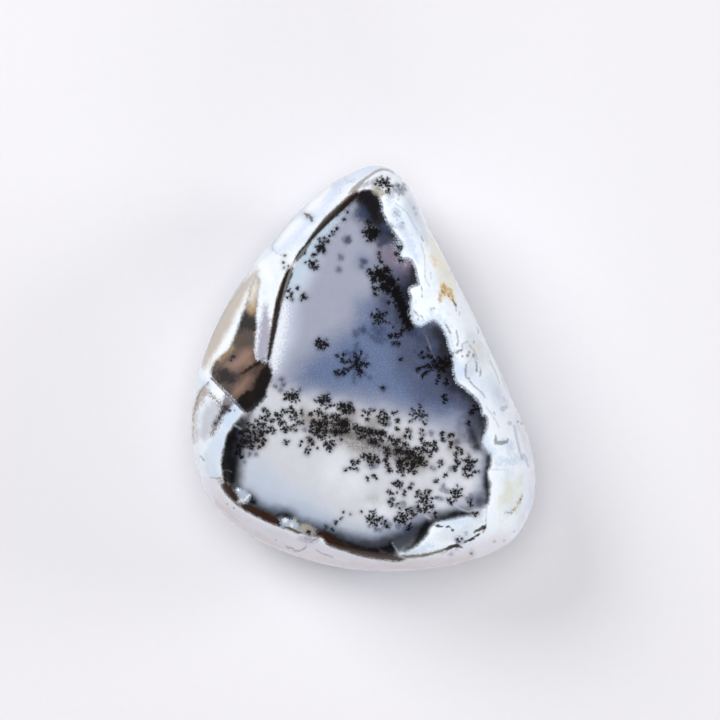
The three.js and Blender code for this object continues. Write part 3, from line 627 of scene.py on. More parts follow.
        patch((-16.7, -15.8), (-16.3, -15.8), (-15.7, -16), (-15.2, -16.3), (-14.9, -16.6),
              (-14.9, -17), (-15.2, -17.5), (-15.6, -17.7), (-16.2, -17.75), (-16.6, -17.55),
              (-16.3, -17.2), (-16.2, -16.9), (-16.5, -16.4)),
        patch((-10.95, -20), (-10.6, -19.75), (-10.3, -19.65), (-9.9, -19.75), (-9.6, -19.9),
              (-9.2, -19.75), (-8.9, -19.8), (-8.6, -20.3), (-8.5, -20.8), (-8.6, -21.2),
              (-9.1, -21), (-9.6, -20.75), (-10.1, -20.7), (-10.5, -20.85), (-10.9, -20.9),
              (-10.75, -20.5)),
    ]),
    ("chip_beige", "chip_beige", 0.9, 0.4, "frosty", 0.9, "stone", [
        patch((-8.5, -20.7), (-7.8, -20.4), (-7, -20.6), (-6.5, -21), (-6.4, -21.6), (-6.8, -22),
              (-7.6, -21.9), (-8.2, -21.3)),
        spot(-16.2, -17.6, 0.2), spot(-9, -19.9, 0.15),
    ]),
    # Painted highlights: white glints on the chips in the border, and one more at the tip
    ("chip_painted_highlight", "white", 0.3, 0.3, "frosty", 0.7, "stone", [
        line(0.25, (-16.1, -17.3), (-15.7, -17.3), (-15.2, -16.9), (-14.95, -16.6)),
        *spots((-10.3, -20, 0.3), (-9.4, -20.6, 0.2), (-16.4, -15.95, 0.2), (2.6, 23.75, 0.2)),
    ]),
    ("base_arc", "olive", 0.15, 0.05, "fine", 0.95, "stone", [
        streak((-10.4, -20.85, 0.2), (-9.8, -20.95, 0.35), (-9, -21.3, 0.35), (-8.5, -21.55, 0.25),
               (-8, -21.55, 0.12)),
    ]),
    # the frosty skin of the rind round the window, the bevel along the base with a painted reflection and
    # shade at its rim, tints in the rind, and a painted highlight on the upper left flat
    ("rim_white", "white", 2.2, 0.8, "fine", 0.75, "rind", [patch(*WINDOW)]),
    ("bevel_lavender", "bevel_lavender", 1.6, 0.3, "medium", 0.8, "rind", [
        line(2.4, (-19.5, -15.2), (-18.2, -17.9), (-15.9, -20), (-12.9, -21.6), (-9, -23.2),
             (-4, -24.9), (1, -25.9), (8, -25.9), (14, -24.4), (18, -22.8)),
    ]),
    # Painted reflection and shade: a warm grey along the outer edge of the bevel at the base
    ("bevel_reflection_and_shade", "bevel_reflection_and_shade", 1.6, 0.4, "medium", 0.6, "rind", [
        line(0.8, (-18.9, -17.9), (-17, -20), (-14.8, -21.6), (-11, -23.6), (-7, -25),
             (-2, -26), (3, -26.3), (9, -25.9), (14, -24.8)),
    ]),
    ("rind_lavender", "rind_lavender", 1.6, 0.4, "medium", 0.35, "rind", [
        line(1.2, (20.4, -6.2), (21.6, -9), (22.3, -13), (22, -17), (20.6, -20.4)),
        line(1.4, (16, -23.4), (18.4, -22.4), (20.2, -20.8)),
    ]),
    ("rind_blue", "rind_blue", 1, 0.5, "fine", 0.75, "rind", [
        streak((3.4, 22, 0.4), (4.4, 20, 0.7), (5.4, 18, 0.8), (6.2, 16.4, 0.7), (7.2, 14, 0.5)),
        line(0.7, (6.3, 8.8), (6.2, 7.4), (6.5, 6.3), (7.4, 5.8), (9.4, 6.7), (10.4, 6),
             (11.3, 4), (11.7, 2.2), (12, 0.4), (12.2, -1.2)),
        line(0.8, (16, -8.7), (15.9, -9.4), (16.4, -10.3), (17.1, -11.2)),
        streak((18.4, -9.4, 0.6), (19.2, -10.2, 1), (19.4, -11.4, 0.5)),
        line(0.8, (17.6, -12.2), (19.4, -12.2), (20.8, -11.8)),
        line(0.6, (5, -24.3), (7, -23.9), (9, -23.2)),
        line(0.5, (10, -20.3), (12, -20.1), (14, -19.8), (15.6, -19.4)),
        *spots((8.9, 7.4, 0.3), (11, 5.4, 0.3)),
    ]),
    ("bevel_grey", "left_lavender", 0.9, 0.5, "frosty", 0.6, "rind", [
        streak((-8.3, -22.2, 0.5), (-7.3, -22.5, 0.9), (-6.2, -22.5, 0.6)),
        streak((12.1, -22.3, 0.5), (12.9, -22.7, 0.9), (12.3, -23.5, 0.6)),
        *spots((14.2, -24.2, 0.3), (11.5, -24.3, 0.25)),
        *spots((13.4, -21.8, 0.2), (3.6, 22.6, 0.4), (4.4, 20.4, 0.4), (5, 18.6, 0.4)),
    ]),
    ("left_grey", "veil", 1.3, 0.4, "medium", 0.9, "rind", [
        streak((-2.6, 25.2, 0.5), (-4.4, 24.1, 1), (-6.2, 22.7, 1.1), (-8.5, 20.5, 1), (-10.6, 17.8, 1.2),
               (-12, 16, 0.6)),
        streak((-18.6, -4.4, 0.8), (-19.6, -5.4, 1.8), (-20.3, -6.8, 2.2), (-20.9, -8.6, 1.2)),
    ]),
    ("left_blue", "left_blue", 0.9, 0.3, "fine", 0.7, "rind", [
        patch((-2.4, 25), (-4, 24.4), (-6.4, 22.8), (-9.4, 19.6), (-12, 16.4), (-11.9, 15.7),
              (-11.2, 15.3), (-9.8, 15.6), (-8, 17.8), (-5.6, 20.4), (-3.4, 22.6), (-2.6, 23.8)),
    ]),
    # Painted highlight: the white glare of the light mirrored in the upper left flat
    ("left_painted_highlight", "white", 1.6, 0.3, "medium", 0.95, "rind", [
        streak((-4.6, 23.4, 0.6), (-6.4, 21.6, 1.4), (-7.4, 20.4, 0.6)),
        streak((-8.6, 19.2, 1), (-10.2, 17.4, 1.4), (-11.2, 16.2, 0.6)),
    ]),
    ("left_lavender", "left_lavender", 0.8, 0.3, "fine", 0.85, "rind", [
        streak((-12.9, 8.2, 0.4), (-12.9, 6.4, 1.1), (-12.9, 4.2, 1.6), (-13.1, 2.6, 1.7),
               (-13.4, 1.6, 1.2)),
    ]),
    ("left_beige", "left_beige", 1.2, 0.3, "medium", 0.9, "rind", [
        streak((-13.8, 12.8, 0.4), (-15.7, 10.7, 1.5), (-17.3, 8, 2), (-18.7, 5.4, 2), (-19.9, 2.8, 1.9),
               (-20.7, 0.6, 1.2)),
        streak((-20.6, -2.3, 0.5), (-21.4, -3.6, 0.7), (-21.8, -4.6, 0.3)),
    ]),
    ("cream", "cream", 1.8, 0.7, "medium", 0.7, "rind", [
        streak((9, 16.6, 0.8), (10, 14.6, 1.8), (11.2, 12.6, 1.9), (11.9, 11, 0.8)),
        spot(15, 2.7, 0.4),
    ]),
    ("peach", "peach", 0.6, 0.2, "fine", 0.7, "rind", [
        *spots((9.3, 14.2, 0.3), (9.4, 13.6, 0.22), (9, 14.8, 0.22)),
    ]),
    ("green_patch", "green_patch", 3.2, 1.2, "medium", 0.7, "rind", [
        patch((18.6, -14.8), (20.2, -14.6), (20.7, -16.6), (20, -18.8), (18.8, -19.3), (18.3, -17)),
    ]),
    ("rind_specks", "edge_tan", 0.3, 0.5, "frosty", 0.7, "rind", [
        streak((18.7, -18.9, 0.1), (19.4, -18.9, 0.3), (20.1, -18.2, 0.3), (20.6, -17.2, 0.25),
               (20.8, -16.7, 0.1)),
    ]),
    ("veil", "veil", 1.6, 0.8, "medium", 0.42, "rind", [
        patch((13.6, 5), (14.8, 4.6), (16.4, 1.6), (15.2, -0.6), (13.8, -1), (13.5, 1.4)),
        streak((12.2, -22.4, 1), (13.6, -22, 1), (15, -21.8, 0.4)),
        streak((9.5, -22.4, 1), (11.5, -21.8, 1.4), (13.2, -21.2, 1), (15.2, -20, 1), (15.4, -18.8, 0.4)),
        streak((4.7, 23.9, 0.7), (5.4, 22.4, 0.6), (6.8, 20.6, 1.2), (7.6, 18.8, 0.8), (8.4, 16.8, 0.3)),
        streak((-20.6, -4.8, 1.2), (-20.4, -6.6, 1.8), (-21, -8.6, 0.8)),
        streak((17, -1.6, 0.4), (18.4, -4.6, 0.5)),
        streak((19.9, -6.6, 0.7), (20.8, -8.6, 0.7), (21.3, -11, 0.3)),
    ]),
    # the rust spot: an arch with two legs
    ("rust_halo", "cream", 1.2, 0.3, "medium", 0.8, "rind", [
        streak((10.2, 11.4, 0.8), (10.8, 10.4, 1.8), (11.6, 9.2, 0.8)),
    ]),
    ("rust", "rust", 0.6, 0.25, "fine", 0.9, "rind", [
        streak((10.5, 10.9, 0.5), (10.8, 10.3, 1), (11.3, 9.9, 0.9)),
        streak((10.4, 10.3, 0.5), (10.15, 9.5, 0.4), (9.95, 8.7, 0.2)),
        streak((11.4, 9.9, 0.6), (11.7, 9.2, 0.3), (12.05, 8.4, 0.15)),
    ]),
    ("rust_light", "cream", 0.5, 0.2, "fine", 0.7, "rind", [
        *spots((11.1, 10.1, 0.22), (10.7, 9.3, 0.25)),
    ]),
    ("rust_rim", "umber", 0.3, 0.2, "fine", 0.65, "rind", [
        streak((10.25, 10.6, 0.1), (10.35, 10, 0.16), (10.7, 9.75, 0.16), (11.3, 9.5, 0.08)),
        line(0.16, (11.7, 9), (12.1, 8.3)),
    ]),
    # the brown side window on the left flat
    ("side_window", "umber", 0.5, 0.3, "frosty", 0.95, "rind", [
        patch((-15.5, 8.2), (-15.9, 7.4), (-16.2, 6.2), (-16.8, 4.5), (-17.5, 2.8), (-18, 2.2),
              (-18.9, 1.6), (-19.6, 0.8), (-20.1, -0.2), (-19.9, -1.2), (-19.5, -1.7), (-18.5, -2.7),
              (-17, -4.1), (-15.4, -5.6), (-13.4, -4),
              (-12, -2.6), (-12.2, 0.6), (-14.1, 1.2), (-14.3, 2.2), (-14.2, 3.5), (-14, 5.8), (-14.1, 6.9),
              (-13.9, 8.7), (-13.8, 10.1), (-13.5, 11.5), (-14, 12.3), (-14.8, 10.8), (-15.2, 9.4)),
    ]),
    ("side_cream", "side_cream", 1.8, 0.3, "fine", 0.97, "side", [
        streak((-13.9, 12.2, 0.5), (-14.2, 10.7, 1.5), (-14.6, 9.2, 1.3), (-14.6, 8.4, 0.7)),
    ]),
    ("side_amber", "amber", 1.3, 0.3, "fine", 0.85, "side", [
        streak((-14.4, 8.6, 0.4), (-14.8, 7.9, 0.9), (-14.5, 7.4, 0.7)),
        streak((-17.2, 2.7, 0.3), (-17.9, 2, 0.35), (-18.7, 1.2, 0.3)),
    ]),
    ("side_olive", "olive", 1.2, 0.3, "medium", 0.4, "side", [
        streak((-16.3, 4.4, 0.4), (-16.8, 3.4, 0.5), (-17.4, 2.6, 0.3)),
    ]),
    ("side_pink", "side_pink", 1.8, 0.4, "medium", 0.95, "side", [
        streak((-14.9, 2, 1.2), (-15.8, 1.2, 1.8), (-17, 0.6, 1.3), (-18.4, 0.5, 0.5)),
        streak((-15, 0.9, 1), (-15.4, -0.2, 0.5)),
        streak((-15.2, -1.4, 0.8), (-16.2, -2.6, 0.9), (-16.9, -3.4, 0.5)),
    ]),
    ("side_dark", "dark_smoke", 0.8, 0.4, "fine", 0.93, "side", [
        patch((-16.3, 7.2), (-15.6, 7.4), (-15, 6.8), (-14.3, 7.1), (-14, 6), (-14, 4.9), (-15, 5),
              (-16.2, 5.1), (-16.9, 4.2), (-16.7, 5.6)),
        *spots((-18.2, -1, 1), (-17.3, -1.3, 0.7), (-18.9, -1.7, 0.4), (-19.6, -0.6, 0.15)),
    ]),
    # Painted highlights in white: the glare at the top of the left flat, the bright ridge down the left
    # side and a patch near its foot
    ("side_painted_highlight", "white", 0.8, 0.3, "fine", 0.6, "rind", [
        streak((-13.2, 13.6, 1.4), (-12.2, 11.6, 1)),
        streak((-15.2, 9.8, 0.3), (-16.2, 7.4, 0.6), (-17.1, 5.1, 0.7), (-17.9, 3.7, 0.8),
               (-18.9, 2.3, 0.8), (-20, 0.9, 0.7), (-20.5, -0.4, 0.6), (-20.4, -1.4, 0.3)),
        patch((-19.8, -1.7), (-18.3, -3.1), (-18.3, -3.6), (-19, -4.2), (-19.8, -3.9),
              (-20.2, -3)),
    ]),
    ("dark_triangle", "dark_smoke", 0.6, 0.2, "fine", 0.97, "stone", [
        patch((-12.5, 0.9), (-12, -0.2), (-11.9, -1), (-12.3, -2), (-12.7, -2.9),
              (-12.6, -3.6), (-13.3, -4.4), (-14, -5.2), (-15, -6.1), (-15.4, -6),
              (-16.7, -4.6), (-16.4, -3.9), (-15.9, -3.4), (-15.3, -2.9), (-14.6, -2.9),
              (-14.3, -1.9), (-13.9, -1), (-13.4, -0.2)),
        streak((-16.4, -0.9, 0.1), (-15.5, -0.4, 0.4), (-15, 0, 0.5), (-14.3, 0.4, 0.5),
               (-13.5, 0.8, 0.4), (-12.7, 1.3, 0.3)),
    ]),
    ("triangle_brown", "umber", 1.0, 0.3, "fine", 0.25, "stone", [
        *spots((-13.9, -2.4, 0.2), (-14.6, -3.8, 0.4), (-12.9, -0.4, 0.15)),
    ]),
    ("grey_zone", "grey_zone", 0.5, 0.3, "fine", 0.92, "rind", [
        patch((-18.1, -3.4), (-17, -4.5), (-17.4, -5.3), (-18.2, -6.3), (-18.8, -5.3),
              (-18.5, -4.5)),
        streak((-15.4, -6.1, 0.2), (-16.3, -7, 0.5), (-17, -8, 0.5)),
        streak((11, 1.6, 0.6), (11.6, 1.9, 0.5), (12.2, 2.1, 0.35), (12.8, 2.4, 0.2)),
    ]),
    ("left_patch", "rind_blue", 0.6, 0.3, "fine", 0.6, "rind", [
        patch((-16.9, -4.7), (-15.7, -5.8), (-16.3, -6.5), (-17, -7.4), (-17.7, -8.4),
              (-18.3, -6.9), (-18.1, -6.2), (-17.4, -5.4)),
        patch((-17.9, -8.6), (-18.7, -12.5), (-18.6, -13.9), (-19.3, -14.3), (-20.2, -14.2),
              (-20.8, -13.3), (-20.9, -12.5), (-21, -11.2), (-20.2, -9.7), (-19.8, -8.8),
              (-18.6, -7.8)),
    ]),
    ("facet_line", "crack", 0.2, 0.06, "fine", 0.9, "rind", [
        streak((-20, -1.3, 0.2), (-18.5, -2.8, 0.2), (-17, -4.35, 0.25), (-16, -5.4, 0.2),
               (-15, -6.4, 0.1)),
    ]),
    ("left_outer", "left_outer", 1.2, 0.5, "fine", 0.8, "rind", [
        line(0.6, (-20.8, -3), (-21.5, -4.2), (-22.1, -5.5), (-22.4, -7.4), (-22.4, -9.4)),
    ]),
    ("mottle", "umber", 0.6, 0.6, "frosty", 0.8, "rind", [
        streak((-18.3, -5.4, 0.3), (-18.8, -6.3, 0.7), (-19.3, -7.3, 0.8), (-19.9, -8.6, 0.4)),
        streak((-20.4, -3.1, 0.1), (-19.4, -4.1, 0.25), (-18.4, -5.3, 0.2)),
        patch((-18.9, -14.5), (-18.3, -14.6), (-18.35, -14.9), (-18.9, -14.95)),
    ]),
    # lines: veins, cracks and scratches
    ("veins_faint", "vein", 0.26, 0.06, "fine", 0.45, "stone", [
        line(0.14, (-20.9, 1.4), (-19.6, 4.6), (-17.8, 8), (-15.6, 11.2)),
        line(0.14, (-21.2, 0.2), (-20.3, 3.6), (-18.6, 7.4), (-16.4, 10.8), (-15, 12.4)),
        line(0.14, (-2.4, 25.2), (-3.5, 24.7), (-5, 23.9), (-6.5, 22.8), (-8, 21.2), (-9.5, 19.4),
             (-11, 17.5), (-12, 16.2), (-11.9, 15.6), (-11.4, 15.1), (-10.7, 14.85), (-10.3, 14.8)),
        line(0.14, (4.2, 21.7), (5, 21.1), (5.7, 20.5), (6.3, 19.4), (7, 18.2)),
        line(0.16, (7.6, 16.3), (7.8, 15.5), (8, 14.8), (8.1, 13.5), (8.1, 12)),
        line(0.16, (8, 12.2), (8.3, 11.5), (8.7, 10.8)),
        line(0.14, (8.8, 12.6), (8.9, 11.8)),
        line(0.14, (13.5, 0.5), (14, 1), (14.4, 1.8), (14.8, 0.8)),
        line(0.22, (12.9, 2.2), (13, 3.2), (13.7, 3.5)),
        line(0.22, (14, 3), (14.6, 2.2), (14.9, 1.2)),
        line(0.16, (16.6, 1), (17.4, -0.6), (17.9, -2)),
        line(0.14, (15.3, 0.2), (15.5, -0.5), (15.3, -1)),
        line(0.12, (16.1, -5), (17.5, -7), (17.8, -7.8)),
        line(0.12, (18.4, -3.8), (18.6, -4.3)),
        line(0.14, (18, -0.6), (18.5, -2.2), (19.2, -3.8)),
        line(0.32, (19.8, -7.6), (20.1, -9), (20.5, -10.8), (20.9, -11.9)),
        line(0.26, (21.1, -11.3), (21.5, -12.4), (21.7, -12.9)),
        line(0.14, (8.2, 4.3), (8.7, 3), (9, 2.2), (9.5, 1.2)),
        line(0.1, (-16.9, -7.4), (-16.1, -7.9)),
        line(0.1, (-18.5, -13.4), (-18, -13.35), (-17.6, -13.4), (-17.3, -13.6)),
        line(0.16, (16.2, -18.3), (16.15, -19), (16.1, -19.8), (16.1, -20.3)),
        line(0.1, (-6.3, -22.25), (-5.7, -22)),
        line(0.14, (10.2, -24.4), (10.7, -24.2), (11, -24)),
        *spots((4.2, 18.6, 0.15), (4.4, 19.5, 0.15), (5, 19.6, 0.12), (4.6, 22.2, 0.15)),
        *spots((6.6, 21, 0.25), (6.9, 20.3, 0.2), (8.9, 7.8, 0.2), (13.5, -21.6, 0.25)),
        line(0.1, (16.6, -13.3), (18.6, -13.25)),
        line(0.12, (-2.5, 24.9), (-1.9, 24.5), (-1.2, 24.5)),
        line(0.12, (-2.2, 24.3), (-1.6, 24.7), (-1.1, 24.9)),
        line(0.12, (-3.1, 23.5), (-3, 23)),
        *spots((17.2, -22.7, 0.25), (18.5, -22.6, 0.2), (19.8, -21.4, 0.15), (11.5, -24.4, 0.15)),
        *spots((-7.5, -22.3, 0.25), (-7, -22.4, 0.2), (-7.6, -22.8, 0.12), (-8.2, -22.6, 0.12)),
        *spots((18.3, -5.3, 0.36), (18.7, -5.1, 0.24), (19.2, -7.2, 0.3), (12.2, -23.8, 0.12)),
    ]),
    ("veins", "crack", 0.26, 0.07, "fine", 0.66, "stone", [
        line(0.14, (7.6, 10.8), (7.7, 10.2), (7.7, 9.4)),
        line(0.14, (6.6, 7.7), (7, 7.2), (7.3, 6.9), (7.2, 6.4)),
        line(0.14, (7.6, 6.9), (8, 6.3)),
        line(0.14, (7.6, 17.3), (7.9, 16.7)),
        line(0.22, (12.2, 4.9), (12.4, 4.1), (12.45, 3.5), (12.3, 3)),
        line(0.24, (13.5, 0.4), (13.4, -0.5), (13.5, -1.2), (13.9, -1.3)),
        line(0.22, (14.85, 0.8), (14.9, 0.2), (14.85, -0.4)),
        line(0.2, (14.4, 1.9), (14.5, 1.5)),
        line(0.2, (15.4, -0.4), (15.3, -1)),
        line(0.14, (14, -1.7), (14.5, -2.3), (15.2, -2.9), (15.7, -3.3), (15.95, -3.8)),
        line(0.12, (17.1, -5.7), (17.3, -6.1)),
        line(0.14, (14.95, 5.6), (15.1, 5.1), (15.1, 4.6)),
        streak((17.35, -8.7, 0.15), (17.35, -9.4, 0.4), (17.35, -9.85, 0.35)),
        streak((17.6, -9.75, 0.5), (18.2, -9.8, 0.5), (18.8, -9.65, 0.4), (19.1, -9.2, 0.15)),
        line(0.14, (12.1, 8.2), (12.2, 7.6)),
        line(0.12, (12.6, 7.4), (12.6, 7)),
        line(0.1, (14.5, 3.6), (14.5, 3.3)),
        line(0.14, (-20.1, -14.3), (-19.7, -14.35), (-19.2, -14.5), (-18.8, -14.3), (-18.6, -14.3)),
        line(0.14, (-6.9, -22.8), (-6.5, -22.5), (-6, -22.35), (-5.6, -22.1), (-5.3, -22.1)),
        line(0.2, (-10.1, -23.4), (-9.7, -23.6), (-9.3, -23.6), (-9.1, -23.9), (-8.5, -24), (-8, -23.8),
             (-7.5, -23.4)),
        line(0.12, (-6.2, -23.8), (-5.6, -24.2), (-4, -24.8)),
        line(0.2, (-20.3, -1.8), (-21.1, -2.7), (-21.7, -3.7), (-22, -4.8)),
        line(0.12, (-22, -4.8), (-22.4, -6.8)),
        line(0.14, (-21.4, -11.5), (-20.9, -12.1)),
        *spots((13, 1.6, 0.15), (13.7, 1.7, 0.24), (13.9, 2.1, 0.18), (9.3, 7.9, 0.12)),
        *spots((4.6, 24, 0.25), (4.8, 20, 0.12), (5.2, 19.1, 0.12), (4.1, 20.5, 0.1)),
        *spots((14.2, -24.3, 0.2), (-11.5, -22.55, 0.1), (-17.85, -17.8, 0.12), (-17, -18.35, 0.12)),
        *spots((12.3, -22.8, 0.22), (12.25, -22.5, 0.18), (12.9, -22.4, 0.15), (12.6, -22, 0.12)),
        *spots((-16.9, -5.5, 0.12), (20.3, -7, 0.15), (20.8, -7.2, 0.15)),
        line(0.2, (10.6, 6), (11.1, 5.3), (11.4, 4.6)),
        *spots((-11.5, -2.4, 0.12), (-10.7, -1.5, 0.12), (-10.5, -2.2, 0.15), (-10.7, -2.8, 0.12)),
    ]),
    ("olive_seam", "olive", 0.34, 0.1, "fine", 0.9, "rind", [
        streak((4.6, -24.8, 0.5), (6, -24.7, 0.45), (7.5, -24.6, 0.4), (9, -24.3, 0.35),
               (10, -24, 0.3), (10.8, -23.75, 0.35), (11.2, -23.45, 0.35), (11.7, -23.4, 0.4),
               (12.1, -23.3, 0.3), (12.3, -23.1, 0.2), (12.7, -23.4, 0.15), (13, -23.6, 0.1)),
        streak((13.3, -22.8, 0.25), (13.6, -22.6, 0.22), (14.1, -22.45, 0.12), (14.5, -22.3, 0.16),
               (14.8, -21.95, 0.22), (15.2, -21.8, 0.12)),
        streak((15.7, -21.5, 0.15), (15.85, -21.1, 0.3), (15.9, -20.8, 0.3)),
    ]),
    ("dark_seam", "sepia", 0.2, 0.2, "fine", 0.9, "rind", [
        streak((14.6, -21.55, 0.2), (15, -21.2, 0.3), (15.5, -21, 0.45), (15.8, -20.8, 0.6),
               (16, -20.5, 0.2)),
        streak((10.9, -23.8, 0.15), (11.3, -23.5, 0.4), (11.8, -23.35, 0.5), (12.4, -23.3, 0.4),
               (12.9, -23.5, 0.1)),
        streak((13.4, -22.8, 0.2), (14.2, -22.4, 0.25), (14.8, -22, 0.4), (15.2, -21.8, 0.15)),
        streak((9, -20.35, 0.3), (9.4, -20.55, 0.25), (9.8, -20.7, 0.25), (10.2, -20.75, 0.16),
               (10.6, -20.7, 0.16), (11.1, -20.8, 0.2), (11.4, -20.95, 0.22), (11.75, -21.25, 0.22)),
        line(0.1, (14, -19.1), (14.5, -19), (15, -19)),
        *spots((-16.2, 6, 0.12), (-16.6, 4.8, 0.12), (-17.5, -5.5, 0.2), (-7.3, -21.5, 0.1)),
        *spots((20.7, -17.25, 0.1), (-16.25, -16.2, 0.08), (-16.5, -16.25, 0.08), (-15.7, -16.8, 0.08)),
    ]),
    ("edge_tan", "edge_tan", 0.3, 0.1, "fine", 0.85, "stone", [
        streak((-9.9, 13, 0.3), (-10.45, 11.4, 0.45), (-10.85, 10.2, 0.6), (-11.2, 9, 0.45),
               (-11.6, 7.4, 0.35), (-12, 5.4, 0.3), (-12.4, 3.2, 0.2)),
        streak((-0.6, 23.7, 0.2), (-2.2, 22.3, 0.4), (-3.4, 21.2, 0.35), (-5, 19.7, 0.3),
               (-6.6, 17.8, 0.15)),
    ]),
    ("edge_line", "edge_line", 0.32, 0.16, "frosty", 0.98, "stone", [
        streak((-0.8, 23.1, 0.4), (-1.6, 22.3, 0.8), (-3.1, 20.95, 0.9), (-4.2, 19.95, 0.9),
               (-5.15, 19, 0.8), (-6.05, 18, 0.7), (-6.85, 17, 0.6), (-7.45, 16.1, 0.6),
               (-8.2, 15.1, 0.8), (-8.75, 14.3, 0.55), (-9.1, 13.9, 0.2)),
        streak((-9.35, 13.2, 0.4), (-9.75, 12.4, 1), (-10.3, 11.1, 0.95), (-10.65, 10, 0.9),
               (-11, 9, 0.85), (-11.25, 8, 0.8), (-11.5, 6.5, 0.75), (-11.75, 5, 0.7),
               (-11.95, 4, 0.65), (-12.15, 3, 0.6), (-12.3, 2, 0.55), (-12.45, 1.3, 0.4)),
    ]),
    ("edge_pale", "left_beige", 0.2, 0.05, "fine", 0.8, "stone", [
        line(0.2, (-8.9, 14.1), (-9.3, 13.6), (-9.6, 13.1)),
    ]),
    ("ridge_grey", "ridge_grey", 0.3, 0.08, "fine", 0.85, "stone", [
        streak((-1.9, 22.9, 0.2), (-1.2, 23.6, 0.5), (-0.3, 24.4, 0.5), (0.4, 25, 0.4), (1.1, 25.5, 0.35),
               (2, 26, 0.35), (2.7, 26.15, 0.3), (3.5, 25.95, 0.25), (4.2, 25.6, 0.2)),
    ]),
)

# Round the side, which the front doesn't show: grey glass, cream bands, seams and fine cracks in the rind
WAY_LENGTH = 0.4  # mm of the unrolled side to a degree


def around(*points):
    """A stroke on the side: degrees round from the right towards the tip, height over the girdle, width."""
    return streak(*[(WAY_LENGTH * way, height, width) for way, height, width in points])


SIDE_LAYERS = (
    ("wall_glass", "lavender", 3.4, 1.8, "coarse", 0.75, "stone", [
        around((-158, -3, 1), (-140, -3.4, 4), (-122, -4, 4.4), (-104, -5.4, 1.6)),
        around((-30, -5.6, 1.6), (-10, -3.4, 3.6), (8, -4, 4.4), (22, -5.4, 1)),
        around((98, -2.8, 1.2), (112, -4.2, 4.6), (126, -5, 3), (146, -4, 0.8)),
        around((60, -7, 1), (74, -6, 2.6), (86, -6.4, 1)),
    ]),
    ("wall_slate", "slate", 2.4, 1.6, "medium", 0.55, "stone", [
        around((-146, -3.2, 0.8), (-132, -3.4, 1.8), (-116, -4.6, 0.8)),
        around((-14, -3.6, 0.8), (2, -3.4, 1.8), (12, -4.4, 0.6)),
        around((104, -3.4, 0.8), (114, -4.2, 2.2), (124, -5.2, 0.6)),
    ]),
    ("wall_cream", "cream", 2.6, 1.2, "medium", 0.75, "stone", [
        around((22, -1.6, 1), (38, -3.4, 2.8), (52, -3.2, 2.4), (64, -4.4, 0.8)),
        around((-72, -4.8, 1), (-58, -3.4, 2.6), (-44, -4.4, 2.8), (-34, -6, 1)),
        around((152, -5.6, 1), (166, -4.4, 2.8), (178, -5.2, 1.2)),
        around((-178, -5.4, 1.2), (-166, -5.8, 2)),
    ]),
    ("wall_tan", "edge_tan", 1.2, 0.8, "fine", 0.45, "stone", [
        around((40, -3.2, 0.5), (48, -3.6, 0.9), (54, -3, 0.3)),
        around((-60, -3.8, 0.3), (-52, -3.6, 0.8), (-46, -4.6, 0.4)),
        around((162, -4.6, 0.4), (169, -4.2, 0.9)),
    ]),
    ("wall_seam", "olive", 0.3, 0.16, "fine", 0.8, "stone", [
        around((-112, -2, 0.1), (-100, -2.6, 0.3), (-90, -2.4, 0.2), (-78, -3, 0.4), (-64, -4.6, 0.3),
               (-54, -5, 0.4), (-42, -5.8, 0.1)),
        around((126, -2, 0.1), (136, -2.8, 0.3), (147, -3, 0.2), (158, -4, 0.35), (170, -4.4, 0.1)),
        around((30, -2.4, 0.1), (37, -3.6, 0.25), (46, -4, 0.3), (56, -5.4, 0.1)),
    ]),
    ("wall_veins", "vein", 0.26, 0.1, "fine", 0.6, "stone", [
        *[around(*[(way, height, 0.16) for way, height in crack]) for crack in (
            ((-172, -1), (-166, -2.6), (-168, -4), (-160, -6.4)),
            ((-128, -1.2), (-124, -3), (-116, -3.8), (-113, -6.2)),
            ((-88, -2.4), (-84, -4.2), (-86, -6.4)),
            ((-74, -1.4), (-66, -2), (-56, -1.8)),
            ((-28, -2), (-22, -3.2), (-12, -3), (-4, -4.6), (6, -5)),
            ((12, -1.6), (15, -3.4), (11, -5.4), (16, -7.4)),
            ((58, -1.6), (66, -3.4), (78, -3.8), (84, -5.6)),
            ((96, -1.4), (102, -3), (99, -5)),
            ((118, -5.6), (130, -6.2), (138, -5.4), (150, -6.4)),
        )],
    ]),
)
SIDE_DENDRITES = [
    [(WAY_LENGTH * way, height, size) for way, height, size in knots] for knots in (
        ((-134, -3.2, 0.5), (-131, -3.9, 0.4), (-136, -4.2, 0.3)),
        ((-121, -4.4, 0.5), (-118, -5, 0.35), (-123.5, -5, 0.3)),
        ((-95, -3.2, 0.3), (-92, -3.6, 0.2), (-70, -4.4, 0.35), (-67, -5.2, 0.3)),
        ((-2, -3.2, 0.5), (1, -3.9, 0.45), (4, -3, 0.3), (8, -4.6, 0.4)),
        ((44, -4.4, 0.3), (47, -4.8, 0.25), (33, -3.2, 0.2)),
        ((112, -3.6, 0.5), (115, -4.6, 0.5), (118, -3.8, 0.3), (109, -4.8, 0.35)),
        ((141, -3.4, 0.3), (144, -3.8, 0.35), (161, -4.8, 0.3)),
    )
]

# On the back: the same white rind with clouds of blue grey glass in it, a seam and a little moss
BACK_LAYERS = (
    ("back_glass", "lavender", 4, 2.2, "coarse", 0.75, "stone", [
        streak((-9, -12, 7), (-3, -5, 9), (4, 2, 8), (3, 10, 5)),
        streak((10, -15, 5), (13, -8, 4)),
    ]),
    ("back_slate", "slate", 4, 2, "coarse", 0.7, "stone", [
        streak((-6, -8, 3), (0, -2, 4), (4, 4, 2.5)),
    ]),
    ("back_seam", "olive", 0.3, 0.16, "fine", 0.7, "stone", [
        streak((-20, -9, 0.2), (-14.5, -13, 0.4), (-8, -17, 0.3), (0, -19.5, 0.5),
               (7, -20, 0.3), (13, -22, 0.2)),
    ]),
    ("back_veins", "vein", 0.26, 0.1, "fine", 0.6, "stone", [
        line(0.2, (-16, 4), (-9, 2.5), (-3, 6), (2, 14)),
        line(0.2, (6, 16), (9, 6), (15, -3)),
        line(0.16, (15, -12), (9, -10), (5, -14)),
    ]),
)
